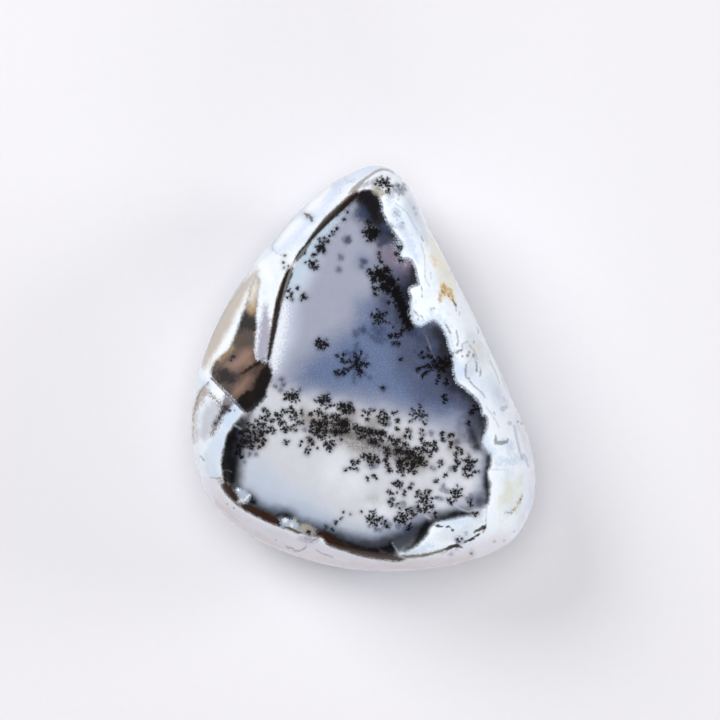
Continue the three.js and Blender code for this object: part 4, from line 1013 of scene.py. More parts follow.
BACK_DENDRITES = (
    ((-7, -6.5, 0.6), (-6.2, -7.2, 0.6), (-5.4, -6.6, 0.5), (-6.6, -7.9, 0.4), (-5.2, -7.8, 0.4)),
    ((-2, -1, 0.6), (-1.2, -1.7, 0.6), (-2.6, -1.9, 0.4), (-0.6, -0.7, 0.4)),
    ((1.6, 3.6, 0.6), (2.4, 4.4, 0.6), (1.2, 4.6, 0.4), (2.9, 3.5, 0.4), (3.2, 5.2, 0.3)),
    ((4.6, 8, 0.4), (5, 8.7, 0.4), (4.2, 8.9, 0.3)),
    ((10.5, -9.5, 0.4), (11.2, -10, 0.5), (11, -9, 0.3)),
    ((-12, -11, 0.4), (-11.4, -11.6, 0.4), (-12.5, -11.8, 0.3)),
)

# Dendrites deeper in the stone, which look blue and soft
DEEP_DENDRITES = (
    ((-2.95, 14.6, 0.25), (-3.2, 13, 0.25)),
    ((0.1, 14, 0.4), (-0.2, 13.4, 0.2)),
    ((2, 4.7, 0.5), (1.5, 5.1, 0.3), (2.4, 5, 0.4), (2.2, 3.7, 0.4), (1.4, 4, 0.3)),
    ((0, 5, 0.5), (-1, 4.5, 0.4)),
    ((10.8, -2, 0.4), (6.6, 5, 0.5)),
    ((1.35, -12.8, 0.35), (3.3, -7.3, 0.25), (8.9, -8.5, 0.25), (12.3, -9.6, 0.25)),
    ((1.7, -21.2, 0.2), (2.05, -21.2, 0.2)),
    ((10.5, -15.5, 0.25), (10.25, -15.9, 0.2), (10.85, -16, 0.25), (10.2, -17.1, 0.2)),
    ((9, -13, 0.2), (9.3, -13.2, 0.2), (11.5, -13.2, 0.2), (13.6, -12.9, 0.3)),
    ((-11.5, -2.4, 0.2), (-10.7, -1.5, 0.25), (-10.5, -2.2, 0.25), (-10.8, -2.8, 0.25)),
    ((-14.9, -11.3, 0.2), (-14.1, -11.3, 0.2), (-15.6, -12.3, 0.15), (-7.7, -8.1, 0.2)),
    ((-0.2, 20.3, 0.7), (3.2, 18.4, 0.5), (7.4, 4, 0.4), (14, -17, 0.4), (15.2, -17.8, 0.3)),
    ((5.2, -17.8, 0.3), (6.8, -18.4, 0.3), (3.1, -20.6, 0.3), (5.6, -21.2, 0.4), (4.6, -20.6, 0.3)),
)
# Fronds: the middle, the reach, the number of arms, the turn of the first (degrees), and whether it is deep
FRONDS = (
    (2.6, 24.4, 0.55, 7, 10, False),
    (4.8, 23.5, 0.5, 6, 10, True),
    (-1, 0.2, 2.2, 9, 20, True),
    (-1, 0.6, 1.5, 7, 50, False),
    (7.3, -6.2, 1.3, 5, 15, False),
    (2.1, 6.7, 0.95, 6, 25, False),
    (2, 4.5, 1.2, 6, 10, True),
    (8.6, 1.2, 1.7, 7, 160, True),
    (12.1, -16.5, 0.85, 6, 40, False),
    (1.45, -19.8, 0.95, 7, 70, False),
    (2.9, -20.4, 0.5, 5, 20, True),
    (5.2, -19.7, 0.95, 7, 30, False),
    (13.9, -12.4, 0.75, 6, 30, False),
    (-5.3, -4.2, 0.85, 6, 200, False),
    (-9.2, -3.5, 0.8, 6, 30, False),
    (8.3, -17, 1.1, 7, 60, False),
    (-1.2, 2.2, 1, 5, 30, True),
)
TWIG_SPACING = 0.34
TWIG_LEAN = math.radians(50)

# How the moss of a dendrite grows, in millimetres
MOSS_SEED = 41
MOSS_SPREAD = 1.15  # the reach of a rosette's arms against its knot's radius
SMALLEST_ROSETTE = 0.16  # smaller knots are plain dots
SOLID_KNOT = 0.48  # larger knots are filled
SMALLEST_CORE = 0.11
OPEN_CORE_SHARE, SOLID_CORE_SHARE = 0.48, 0.75  # of the knot's radius
ARMS, ARMS_TO_MM = 5, 7
ARM_SHIFT, FROND_ARM_SHIFT = 0.25, 0.3  # how unevenly arms are set round, against the way to the next
LONG_ARM = 0.28  # longer arms have a fork
FORK_AT, FORK_SHARE = 0.6, 0.45  # of the arm's length
BRIDGE_GAP = 0.25  # knots that are closer than this to one another are joined
BRIDGE_BEND = 0.08
ROOT, THREAD = 0.1, 0.06  # the radii at the root of an arm, and of bridges and ends
UNEVEN = (0.7, 1.3)  # lengths and leans are multiplied by a draw between these
FROND_CORE = 0.2
FROND_REACH = (0.6, 1.1)
FROND_CROOK = 0.28  # radians at each twig
FROND_TAPER = 0.04
BARE_SHARE = 0.3  # of the places for a twig
TWIG_LENGTH = (0.15, 0.36)
TWIG_TAPER = 0.4
BUD = (0.06, 0.09)


def reached(x, y, way, length):
    return x + length * math.cos(way), y + length * math.sin(way)


def rosette(rng, x, y, radius):
    """A blunt core with short forked arms all round."""
    if radius < SMALLEST_ROSETTE:
        return [((x, y, radius), (x, y, radius))]
    core = max(SMALLEST_CORE, radius * (OPEN_CORE_SHARE if radius < SOLID_KNOT else SOLID_CORE_SHARE))
    strokes = [((x, y, core), (x, y, core))]
    arms = round(ARMS + ARMS_TO_MM * radius)
    turn = rng.uniform(0, 2 * math.pi)
    for arm in range(arms):
        way = turn + 2 * math.pi * (arm + rng.uniform(-ARM_SHIFT, ARM_SHIFT)) / arms
        length = MOSS_SPREAD * radius * rng.uniform(*UNEVEN)
        strokes.append(((x, y, ROOT), (*reached(x, y, way, length), THREAD)))
        if length > LONG_ARM:
            fork = reached(x, y, way, FORK_AT * length)
            lean = way + rng.choice((-1, 1)) * TWIG_LEAN * rng.uniform(*UNEVEN)
            strokes.append(((*fork, THREAD), (*reached(*fork, lean, FORK_SHARE * length), THREAD)))
    return strokes


def bridges(rng, knots):
    """Crooked threads between the knots of a dendrite that nearly touch."""
    strokes = []
    for i, (x0, y0, r0) in enumerate(knots):
        for x1, y1, r1 in knots[i + 1:]:
            if math.hypot(x1 - x0, y1 - y0) > r0 + r1 + BRIDGE_GAP:
                continue
            bend_x = (x0 + x1) / 2 + rng.uniform(-BRIDGE_BEND, BRIDGE_BEND)
            bend_y = (y0 + y1) / 2 + rng.uniform(-BRIDGE_BEND, BRIDGE_BEND)
            strokes.append(((x0, y0, THREAD), (bend_x, bend_y, THREAD), (x1, y1, THREAD)))
    return strokes


def twigs(rng, at, way, gone):
    """Up to two twigs at a place on an arm of which a share is gone. They end in buds."""
    strokes = []
    for side in (-1, 1):
        if rng.random() < BARE_SHARE:
            continue
        length = rng.uniform(*TWIG_LENGTH) * (1 - TWIG_TAPER * gone)
        lean = way + side * TWIG_LEAN * rng.uniform(*UNEVEN)
        strokes.append(((*at, THREAD), (*reached(*at, lean, length), rng.uniform(*BUD))))
    return strokes


def frond(rng, x, y, reach, arms, turn):
    """Crooked arms round a middle, each with twigs that lean outwards."""
    strokes = [((x, y, FROND_CORE), (x, y, FROND_CORE))]
    for arm in range(arms):
        shift = rng.uniform(-FROND_ARM_SHIFT, FROND_ARM_SHIFT)
        way = math.radians(turn) + 2 * math.pi * (arm + shift) / arms
        length = reach * rng.uniform(*FROND_REACH)
        at, gone = (x, y), 0.0
        while gone < length:
            way += rng.uniform(-FROND_CROOK, FROND_CROOK)
            to = reached(*at, way, TWIG_SPACING)
            thick = ROOT - FROND_TAPER * gone / length
            strokes.append(((*at, thick), (*to, thick)))
            strokes += twigs(rng, to, way, gone / length)
            at = to
            gone += TWIG_SPACING
        strokes.append(((*at, ROOT), (*at, ROOT)))
    return strokes


def grown_moss(dendrites, fronds=()):
    """The strokes of each frond and each dendrite."""
    rng = random.Random(MOSS_SEED)
    bunches = [frond(rng, *leaf) for leaf in fronds]
    for knots in dendrites:
        strokes = bridges(rng, knots)
        for knot in knots:
            strokes += rosette(rng, *knot)
        bunches.append(strokes)
    return bunches


# Distances
def stroke_distance(points, stroke):
    """How far points lie outside a round-ended stroke, less than 0 inside."""
    nearest = np.full(len(points), np.inf)
    for (x0, y0, r0), (x1, y1, r1) in zip(stroke, stroke[1:]):
        along = np.array([x1 - x0, y1 - y0])
        offset = points - (x0, y0)
        t = np.clip(offset @ along / max(along @ along, 1e-9), 0, 1)
        gap = offset - t[:, None] * along
        nearest = np.minimum(nearest, np.hypot(gap[:, 0], gap[:, 1]) - (r0 + (r1 - r0) * t))
    return nearest


def patch_distance(points, corners):
    """How far points lie outside a closed patch, less than 0 inside."""
    nearest = np.full(len(points), np.inf)
    inside = np.zeros(len(points), bool)
    x, y = points.T
    for (x0, y0), (x1, y1) in zip(corners, corners[1:] + corners[:1]):
        along = np.array([x1 - x0, y1 - y0])
        offset = points - (x0, y0)
        t = np.clip(offset @ along / max(along @ along, 1e-9), 0, 1)
        gap = offset - t[:, None] * along
        nearest = np.minimum(nearest, np.hypot(gap[:, 0], gap[:, 1]))
        if y0 != y1:
            inside ^= ((y0 > y) != (y1 > y)) & (x < (x1 - x0) * (y - y0) / (y1 - y0) + x0)
    return np.where(inside, -nearest, nearest)


def near_places(points, corners, reach):
    """The indices of the points within reach of the corners' box."""
    places = np.array([corner[:2] for corner in corners])
    low, high = places.min(0) - reach, places.max(0) + reach
    return np.nonzero(np.all((points > low) & (points < high), axis=1))[0]


def field(points, shapes, reach):
    """The distance to the nearest of some shapes, as far as it matters."""
    distance = np.full(len(points), reach)
    for kind, corners in shapes:
        radius = max(corner[2] for corner in corners) if kind == "stroke" else 0
        near = near_places(points, corners, radius + reach)
        if len(near):
            measure = stroke_distance if kind == "stroke" else patch_distance
            found = measure(points[near], corners)
            distance[near] = np.minimum(distance[near], found)
    return distance


def bunch_field(points, bunches, reach):
    """The distance to the nearest of the strokes of some bunches, as far as it matters."""
    distance = np.full(len(points), reach)
    for strokes in bunches:
        corners = [corner for stroke in strokes for corner in stroke]
        near = near_places(points, corners, reach + max(corner[2] for corner in corners))
        if len(near):
            found = field(points[near], [("stroke", stroke) for stroke in strokes], reach)
            distance[near] = np.minimum(distance[near], found)
    return distance


# Every layer is kept to its own part of the stone by the upward part of the surface's normal: which normals
# its distances start to grow from, below and above, and how fast
PARTS = {"front": (0.22, 2.0), "side": (-0.8, -0.04), "back": (-2.0, -0.5)}
PART_FADE = 5.0
PART_FADE_GROWTH = 24.0
LEFT_REACH = 0.15  # how much further down the front's layers go on the left
# The edges between the parts wander up and down in crossing waves, by so much of the normal. The waves'
# numbers are radians to a millimetre.
PART_WANDER = 0.07
WAVE_ALONG, WAVE_START = 1.1, 0.4
SLANT_ACROSS, SLANT_ALONG = 0.9, 0.7
# How far from its shapes a layer's distance is followed, by its softness and raggedness, and how much more
SOFT_REACH, RAGGED_REACH, SPARE_REACH = 0.6, 1.6, 0.8
INK_REACH = 1.0
# How fine the mesh is at the rims of the layers and inks (mm), and how fast it grows coarser from there
COARSE_RIM = {"front": 0.24, "side": 0.46, "back": 0.6}
THIN_LINE = 0.26  # the softness up to which a front layer's rims are finer
THIN_RIM = 0.2
RIM_SHARE = 0.55
RIM_GROWTH = 0.74
INK_RIMS = {"ink": 0.0, "deep_ink": 0.22, "side_ink": 0.24, "back_ink": 0.3}
# How fine it is elsewhere: on the face, which lies above a height, on the rest, and by the face's edge
FACE_LEVEL = 0.5
FACE_MESH, OTHER_MESH = 0.55, 1.0
EDGE_MESH, EDGE_GROWTH = 0.26, 0.5
UNDERSIDE_LEVEL = -1  # the face's edge counts for nothing under this
UNDERSIDE_SLACK = 2


def painted_place(points):
    """Where points of the stone, in millimetres over the girdle, are seen from the eye."""
    closer = EYE_DISTANCE / (EYE_DISTANCE - points[:, 2:3])
    return EYE_PLACE + (points[:, :2] - EYE_PLACE) * closer


def unrolled_place(points):
    """Where points of the stone lie on its unrolled side: how far round from the right, and how high."""
    plan = points[:, :2] - HEART
    way = np.degrees(np.arctan2(plan[:, 1], plan[:, 0]))
    return np.stack([way * WAY_LENGTH, points[:, 2]], axis=1)


def shapes_of(part, layers):
    return [(part, name, soft, ragged, shapes) for name, _, soft, ragged, _, _, _, shapes in layers]


def fronds_of(deep):
    return [leaf[:5] for leaf in FRONDS if leaf[5] == deep]


def rim_fineness(part, soft):
    thinnest = THIN_RIM if part == "front" and soft <= THIN_LINE else COARSE_RIM[part]
    return max(thinnest, RIM_SHARE * soft)


def part_fades(points, normals):
    """What is added to the distances of each part's layers at points outside the part."""
    x, y = points[:, 0], points[:, 1]
    wander = PART_WANDER * np.sin(WAVE_ALONG * y + WAVE_START) * np.sin(SLANT_ACROSS * x - SLANT_ALONG * y)
    facing = dict.fromkeys(PARTS, normals[:, 2] + wander)
    facing["front"] = normals[:, 2] + wander + LEFT_REACH * np.maximum(0, -normals[:, 0])
    fades = {}
    for part, (low, high) in PARTS.items():
        beyond = np.maximum(0, low - facing[part]) + np.maximum(0, facing[part] - high)
        fades[part] = beyond * (PART_FADE + PART_FADE_GROWTH * beyond)
    return fades


class Drawing:
    """All the layers' distances at points of the stone, and how fine a mesh has to be to show them."""

    def __init__(self):
        self.layers = [
            *shapes_of("front", LAYERS), *shapes_of("side", SIDE_LAYERS), *shapes_of("back", BACK_LAYERS),
        ]
        self.moss = {
            "ink": ("front", grown_moss(DENDRITES, fronds_of(False))),
            "deep_ink": ("front", grown_moss(DEEP_DENDRITES, fronds_of(True))),
            "side_ink": ("side", grown_moss(SIDE_DENDRITES)),
            "back_ink": ("back", grown_moss(BACK_DENDRITES)),
        }
        self.names = [layer[1] for layer in self.layers] + list(self.moss)
        rims = [rim_fineness(part, soft) for part, _, soft, _, _ in self.layers]
        self.rims = np.array(rims + [INK_RIMS[name] for name in self.moss])

    def distances(self, directions, points):
        fades = part_fades(points, stone_normals(directions))
        places = {"front": painted_place(points), "side": unrolled_place(points), "back": points[:, :2]}
        columns = []
        for part, _, soft, ragged, shapes in self.layers:
            reach = SOFT_REACH * soft + RAGGED_REACH * ragged + SPARE_REACH
            columns.append(field(places[part], shapes, reach) + fades[part])
        for part, bunches in self.moss.values():
            columns.append(bunch_field(places[part], bunches, INK_REACH) + fades[part])
        return np.stack(columns, axis=1)

    def fineness(self, points, distances, finest):
        """The longest edge that the mesh may have at points, in millimetres."""
        height = points[:, 2]
        wanted = np.where(height > FACE_LEVEL, FACE_MESH, OTHER_MESH)
        slack = UNDERSIDE_SLACK * (height < UNDERSIDE_LEVEL)
        wanted = np.minimum(wanted, EDGE_MESH + EDGE_GROWTH * face_edge_gap(points) + slack)
        near = np.maximum(finest, self.rims) + RIM_GROWTH * np.abs(distances)
        return np.minimum(wanted, near.min(axis=1))


# The mesh of the stone
OCTAHEDRON_POINTS = ((1, 0, 0), (0, 1, 0), (-1, 0, 0), (0, -1, 0), (0, 0, 1), (0, 0, -1))
OCTAHEDRON_FACES = ((0, 1, 4), (1, 2, 4), (2, 3, 4), (3, 0, 4), (1, 0, 5), (2, 1, 5), (3, 2, 5), (0, 3, 5))
MOST_PASSES = 24
LENGTH_TOLERANCE = 1.15  # edges are split when they are so much longer than wanted
NEIGHBOUR_ROUNDS = 6


def edges_of(faces):
    """The mesh's edges, and which of them each face has opposite its corners' next ones."""
    pairs = np.sort(faces[:, [[0, 1], [1, 2], [2, 0]]].reshape(-1, 2), axis=1)
    edges, index = np.unique(pairs, axis=0, return_inverse=True)
    return edges, index.reshape(-1, 3)


def edges_to_split(points, faces, edges, of_face, wanted):
    """Marks the edges that are too long, and the longest edge of each face that has a marked one."""
    length = np.linalg.norm(points[edges[:, 0]] - points[edges[:, 1]], axis=1)
    marked = length > np.minimum(wanted[edges[:, 0]], wanted[edges[:, 1]]) * LENGTH_TOLERANCE
    longest = of_face[np.arange(len(faces)), np.argmax(length[of_face], axis=1)]
    for _ in range(NEIGHBOUR_ROUNDS):
        touched = marked[of_face].any(axis=1)
        marked[longest[touched]] = True
    return marked


def split_faces(faces, of_face, middle):
    """Splits each face at the new points in the middle of its marked edges (-1 where there is none)."""
    made = [faces[(middle[of_face] < 0).all(axis=1)]]
    for turn in range(3):
        a, b, c = (faces[:, (turn + k) % 3] for k in range(3))
        ab, bc, ca = (middle[of_face[:, (turn + k) % 3]] for k in range(3))
        one = (ab >= 0) & (bc < 0) & (ca < 0)
        two = (ab >= 0) & (bc >= 0) & (ca < 0)
        for corners, chosen in (
            ((a, ab, c), one), ((ab, b, c), one),
            ((ab, b, bc), two), ((a, ab, bc), two), ((a, bc, c), two),
        ):
            made.append(np.stack(corners, axis=1)[chosen])
    a, b, c = faces.T
    ab, bc, ca = middle[of_face].T
    three = (ab >= 0) & (bc >= 0) & (ca >= 0)
    for corners in ((a, ab, ca), (ab, b, bc), (ca, bc, c), (ab, bc, ca)):
        made.append(np.stack(corners, axis=1)[three])
    return np.concatenate(made)


def stone_mesh_data(drawing, finest, most_faces):
    """Splits an octahedron of directions until the stone's mesh is as fine as the drawing needs."""
    directions = np.array(OCTAHEDRON_POINTS, float)
    faces = np.array(OCTAHEDRON_FACES)
    points = stone_surface(directions)
    distances = drawing.distances(directions, points)
    wanted = drawing.fineness(points, distances, finest)
    for _ in range(MOST_PASSES):
        edges, of_face = edges_of(faces)
        marked = edges_to_split(points, faces, edges, of_face, wanted)
        if not marked.any() or len(faces) > most_faces:
            break
        chosen = edges[marked]
        middle = np.full(len(edges), -1)
        middle[marked] = len(points) + np.arange(len(chosen))
        added = directions[chosen[:, 0]] + directions[chosen[:, 1]]
        added /= np.linalg.norm(added, axis=1, keepdims=True)
        new_points = stone_surface(added)
        new_distances = drawing.distances(added, new_points)
        directions = np.concatenate([directions, added])
        points = np.concatenate([points, new_points])
        distances = np.concatenate([distances, new_distances])
        wanted = np.concatenate([wanted, drawing.fineness(new_points, new_distances, finest)])
        faces = split_faces(faces, of_face, middle)
    return directions, points, faces, distances


# Map for baking: the face seen from above over most of it, the underside in a strip beside it
MAP_SPAN = 56.0
FACE_SHARE = 0.8
LEVEL_TOLERANCE = 1e-6  # mm over the resting flat


def bake_map(mesh, points, faces, normals):
    layer = mesh.uv_layers.new(name="OFBake")
    upper = normals[faces].sum(axis=1)[:, 2] >= 0
    place = points[:, :2] / MAP_SPAN + 0.5
    corners = place[faces.reshape(-1)].reshape(-1, 3, 2)
    corners[upper, :, 0] *= FACE_SHARE
    corners[~upper, :, 0] = FACE_SHARE + corners[~upper, :, 0] * (1 - FACE_SHARE)
    layer.data.foreach_set("uv", corners.reshape(-1).astype(np.float32))


def filled_mesh(name, points, faces):
    """A smooth mesh of triangles, of points in metres."""
    mesh = bpy.data.meshes.new(name)
    mesh.vertices.add(len(points))
    mesh.vertices.foreach_set("co", points.reshape(-1).astype(np.float32))
    mesh.loops.add(len(faces) * 3)
    mesh.loops.foreach_set("vertex_index", faces.reshape(-1).astype(np.int32))
    mesh.polygons.add(len(faces))
    mesh.polygons.foreach_set("loop_start", np.arange(0, len(faces) * 3, 3, dtype=np.int32))
    mesh.update(calc_edges=True)
    mesh.validate()
    mesh.shade_smooth()
    return mesh


def build_stone(finest, most_faces):
    """The stone's object, with each layer's distance as an attribute of its mesh."""
    drawing = Drawing()
    directions, points, faces, distances = stone_mesh_data(drawing, finest, most_faces)
    normals = stone_normals(directions)
    normals[points[:, 2] <= -REST_HEIGHT + LEVEL_TOLERANCE] = (0, 0, -1)
    mesh = filled_mesh("opal_stone", (points + (0, 0, REST_HEIGHT)) * MM, faces)
    for name, column in zip(drawing.names, distances.T):
        attribute = mesh.attributes.new(name, "FLOAT", "POINT")
        attribute.data.foreach_set("value", column.astype(np.float32))
    bake_map(mesh, points, faces, normals)
    mesh.normals_split_custom_set_from_vertices(normals.astype(np.float32))
    stone = bpy.data.objects.new("opal_stone", mesh)
    bpy.context.collection.objects.link(stone)
    print("opal_stone:", len(points), "points,", len(faces), "faces")
    return stone


# Colours
def linear(colour):
    """A colour that is given as a screen shows it, as light."""
    parts = [c / 12.92 if c <= 0.04045 else ((c + 0.055) / 1.055) ** 2.4 for c in colour]
    return (*parts, 1.0)


def colour_property(name, description, red, green, blue):
    return FloatVectorProperty(
        name=name, description=description, subtype="COLOR_GAMMA", size=3, min=0, max=1,
        default=(red / 255, green / 255, blue / 255),
    )


def length_property(name, description, value, low, high):
    """A length, in metres."""
    return FloatProperty(
        name=name, description=description, subtype="DISTANCE", unit="LENGTH", default=value,
        min=low, max=high,
    )


# The colours in the stone as a screen shows them: red, green and blue, 0 to 255, and what each is for
COLOURS = {
    "rind": (241, 247, 254, "The white opal round the window"),
    "rind_shade": (204, 220, 242, "Where the rind is a little clearer"),
    # White is also the colour of the painted highlights: the glints at the tip and on the chips, and the
    # glare on the left flats
    "white": (252, 254, 255, "The rind where it is frosty"),
    "milk": (203, 204, 211, "The milky ground of the window"),
    "porcelain": (226, 230, 238, "The whitest ground of the window"),
    "cool_milk": (178, 192, 212, "The ground along the base"),
    "lavender": (158, 162, 179, "The clear upper ground"),
    "horizon": (94, 109, 142, "Blue over the band of dendrites"),
    "left_glow": (206, 215, 231, "Pale glow inside the left edge"),
    "slate": (73, 79, 103, "The dark blue upper ground"),
    "blue_haze": (112, 124, 152, "Deep blue clouds"),
    "violet_haze": (142, 122, 140, "Warm clouds in the upper window"),
    "band_halo": (148, 143, 141, "The grey ground behind the dense dendrites"),
    "dusk": (62, 66, 84, "The dim ground along the rind"),
    "smoke": (36, 38, 44, "Black haze of dendrites deep down"),
    "ghost": (54, 64, 92, "Dendrites deep in the stone"),
    "dark_smoke": (24, 21, 22, "Black of the densest haze"),
    "sepia": (50, 42, 36, "Brown of the densest dendrites"),
    "ink": (10, 9, 10, "The dendrites at the surface"),
    "brown_ink": (24, 19, 16, "The dendrites of the dense band"),
    "frost": (190, 205, 220, "Mottled skin inside the edge"),
    "fringe": (232, 236, 244, "Bright fringe inside the edge"),
    "tip_smear": (158, 154, 164, "Grey over the tip of the window"),
    "tip_glass": (146, 142, 122, "Clear grey green at the tip"),
    "umber": (62, 36, 12, "Brown of the side window"),
    "umber_dark": (50, 27, 10, "Brown border of the window"),
    "amber": (196, 164, 120, "Honey tones of the side window"),
    "side_cream": (234, 228, 216, "Cream at the side window's top"),
    "side_pink": (152, 122, 108, "Pink brown of the side window"),
    "left_beige": (192, 180, 165, "Warm shade on the left"),
    "left_blue": (206, 222, 248, "Pale blue of the upper left flat"),
    "left_lavender": (158, 153, 173, "Strip beside the edge"),
    "left_outer": (168, 148, 134, "Brown band at the outer left"),
    "grey_zone": (120, 112, 112, "Grey glass on the left"),
    "chip": (178, 190, 206, "Cloudy chips in the border"),
    "slate_chip": (70, 76, 88, "Blue grey chip in the border"),
    "chip_beige": (176, 167, 154, "Warm chips in the border"),
    "olive": (96, 86, 60, "Olive seams"),
    "bevel_lavender": (228, 224, 233, "Lavender white of the bevel"),
    # Painted warm reflection and shade on the bevel's outer edge
    "bevel_reflection_and_shade": (212, 194, 190, "The bevel's warm outer edge"),
    "rind_lavender": (222, 214, 226, "Lavender in the rind"),
    "rind_blue": (202, 218, 236, "Blue in the rind"),
    "cream": (238, 230, 204, "Yellow white in the rind"),
    "peach": (232, 200, 166, "Peach spots in the rind"),
    "rust": (196, 156, 94, "The rusty spot in the rind"),
    "green_patch": (216, 218, 200, "Greenish patch in the rind"),
    "veil": (196, 200, 208, "Grey veils in the rind"),
    "vein": (138, 146, 162, "Fine grey veins"),
    "crack": (88, 86, 94, "Fine dark cracks"),
    "edge_line": (34, 26, 20, "Dark line along the edge"),
    "edge_tan": (138, 112, 86, "Brown beside the edge's line"),
    "ridge_grey": (150, 142, 140, "Grey of the ground ridge"),
}


class OpalColours(bpy.types.PropertyGroup):
    """The colours in the stone"""

    __annotations__ = {
        name: colour_property(name.replace("_", " ").capitalize(), use, *shown)
        for name, (*shown, use) in COLOURS.items()
    }


class OpalShape(bpy.types.PropertyGroup):
    """How finely the stone is meshed, and how it is polished"""

    finest_edge: length_property(
        "Finest edge", "The mesh's edges at the rim of a dendrite", 0.00012, 0.00005, 0.002
    )
    most_faces: IntProperty(
        name="Most faces", description="The mesh isn't split further past this", default=190000,
        min=1000, max=190000,
    )
    roughness: FloatProperty(
        name="Roughness", description="Roughness of the polish", subtype="FACTOR", default=0.08,
        min=0, max=1,
    )


class OpalStage(bpy.types.PropertyGroup):
    """The floor, the lights and the camera"""

    floor_colour: colour_property("Floor", "The pale floor", 237, 235, 239)
    floor_radius: length_property("Floor radius", "Radius of the floor", 2.0, 0.2, 10)
    eye_height: length_property(
        "Eye height", "Height of the camera over the girdle", EYE_DISTANCE * MM, 0.1, 5
    )
    brightness: FloatProperty(
        name="Brightness", description="Strength of all the lights", default=1.0, min=0, max=10
    )


# Nodes
class NodeMaker:
    """Adds linked nodes to a tree."""

    def __init__(self, tree):
        self.tree = tree

    def add(self, kind, inputs=(), **settings):
        node = self.tree.nodes.new(kind)
        for name, value in settings.items():
            setattr(node, name, value)
        for key, value in dict(inputs).items():
            if isinstance(value, bpy.types.NodeSocket):
                self.tree.links.new(value, node.inputs[key])
            else:
                node.inputs[key].default_value = value
        return node

    def math(self, operation, *values):
        return self.add("ShaderNodeMath", enumerate(values), operation=operation).outputs[0]

    def mix(self, factor, under, over):
        inputs = {0: factor, 6: under, 7: over}
        return self.add("ShaderNodeMix", inputs, data_type="RGBA").outputs[2]

    def noise(self, place, scale, **inputs):
        """A noise with so many features to a metre."""
        return self.add("ShaderNodeTexNoise", {"Vector": place, "Scale": scale, **inputs}).outputs["Fac"]

    def ramp(self, value, low, high, top, interpolation="SMOOTHSTEP"):
        """From 0 where the value is low, to top where it is high."""
        inputs = {"Value": value, "From Min": low, "From Max": high, "To Min": 0.0, "To Max": top}
        return self.add("ShaderNodeMapRange", inputs, interpolation_type=interpolation).outputs["Result"]

    def attribute(self, name):
        return self.add("ShaderNodeAttribute", attribute_name=name).outputs["Fac"]

    def group(self, group, inputs):
        return self.add("ShaderNodeGroup", inputs, node_tree=group)


def new_group(name, inputs, outputs):
    """An empty node group: inputs are (name, default) numbers or vectors, outputs are numbers."""
    group = bpy.data.node_groups.new(name, "ShaderNodeTree")
    for socket, default in inputs:
        kind = "NodeSocketVector" if default is None else "NodeSocketFloat"
        made = group.interface.new_socket(socket, in_out="INPUT", socket_type=kind)
        if default is not None:
            made.default_value = default
    for socket in outputs:
        group.interface.new_socket(socket, in_out="OUTPUT", socket_type="NodeSocketFloat")
    maker = NodeMaker(group)
    source = maker.add("NodeGroupInput").outputs
    return group, maker, source


def end_with_mask(maker, source, distance):
    """Ends a group: the mask is Strength inside and 0 outside, and Softness is how wide its rim is."""
    inner, outer = (maker.math("MULTIPLY", source["Softness"], side) for side in (0.5, -0.5))
    maker.add("NodeGroupOutput", {"Mask": maker.ramp(distance, inner, outer, source["Strength"])})


def soft_edge_group():
    """A mask from a distance, with a soft and ragged rim."""
    inputs = (("Distance", 1.0), ("Softness", 0.2), ("Raggedness", 0.0), ("Noise", 0.0), ("Strength", 1.0))
    group, maker, source = new_group("soft_edge", inputs, ["Mask"])
    ragged = maker.math("MULTIPLY_ADD", source["Noise"], source["Raggedness"], source["Distance"])
    end_with_mask(maker, source, ragged)
    return group


# The noises that make rims ragged and grounds uneven: the size of their features in millimetres. The last
# is drawn out into streaks.
GRAINS = {"frosty": 0.18, "fine": 0.5, "medium": 1.8, "coarse": 6.0, "streaky": 0.24}
GRAIN_CONTRAST = 3.6
GRAIN_DETAIL = {"Detail": 2.0, "Roughness": 0.55}
STREAK_WAY = math.radians(112)
STREAK_STRETCH = 4.5


def grain_group():
    """A noise of each size, between about -1 and 1."""
    names = [name.title() for name in GRAINS]
    group, maker, source = new_group("opal_grain", [("Vector", None)], names)
    drawn_out = maker.add("ShaderNodeMapping", {
        "Vector": source["Vector"], "Rotation": (0, 0, STREAK_WAY), "Scale": (STREAK_STRETCH, 1, 1),
    }, vector_type="TEXTURE")
    outputs = {}
    for name, size in GRAINS.items():
        place = drawn_out.outputs[0] if name == "streaky" else source["Vector"]
        grain = maker.noise(place, 1 / (size * MM), **GRAIN_DETAIL)
        outputs[name.title()] = maker.math("MULTIPLY_ADD", grain, GRAIN_CONTRAST, -GRAIN_CONTRAST / 2)
    maker.add("NodeGroupOutput", outputs)
    return group


# How the dendrites are inked in, from the lowest up: which, colour, softness, spread, depth of the lobes
# (all mm), strength
INKS = (
    ("back_ink", "ghost", 0.9, 0.15, 0.0, 0.4),
    ("back_ink", "ink", 0.3, 0.0, 0.3, 0.9),
    ("side_ink", "ghost", 0.9, 0.15, 0.0, 0.4),
    ("side_ink", "ink", 0.2, 0.0, 0.26, 0.92),
    ("deep_ink", "ghost", 1.0, 0.1, 0.0, 0.45),
    ("deep_ink", "ghost", 0.4, 0.0, 0.12, 0.72),
    ("ink", "ghost", 1.1, 0.15, 0.0, 0.35),
    ("ink", "sepia", 0.45, 0.06, 0.1, 0.45),
    ("ink", "ink", 0.16, 0.01, 0.24, 0.96),
)
LOBE_SIZE = 0.3
LOBE_MIDDLE = 0.48  # the usual distance from the middle of a lobe, against its size
INK_RAGGEDNESS = 0.04


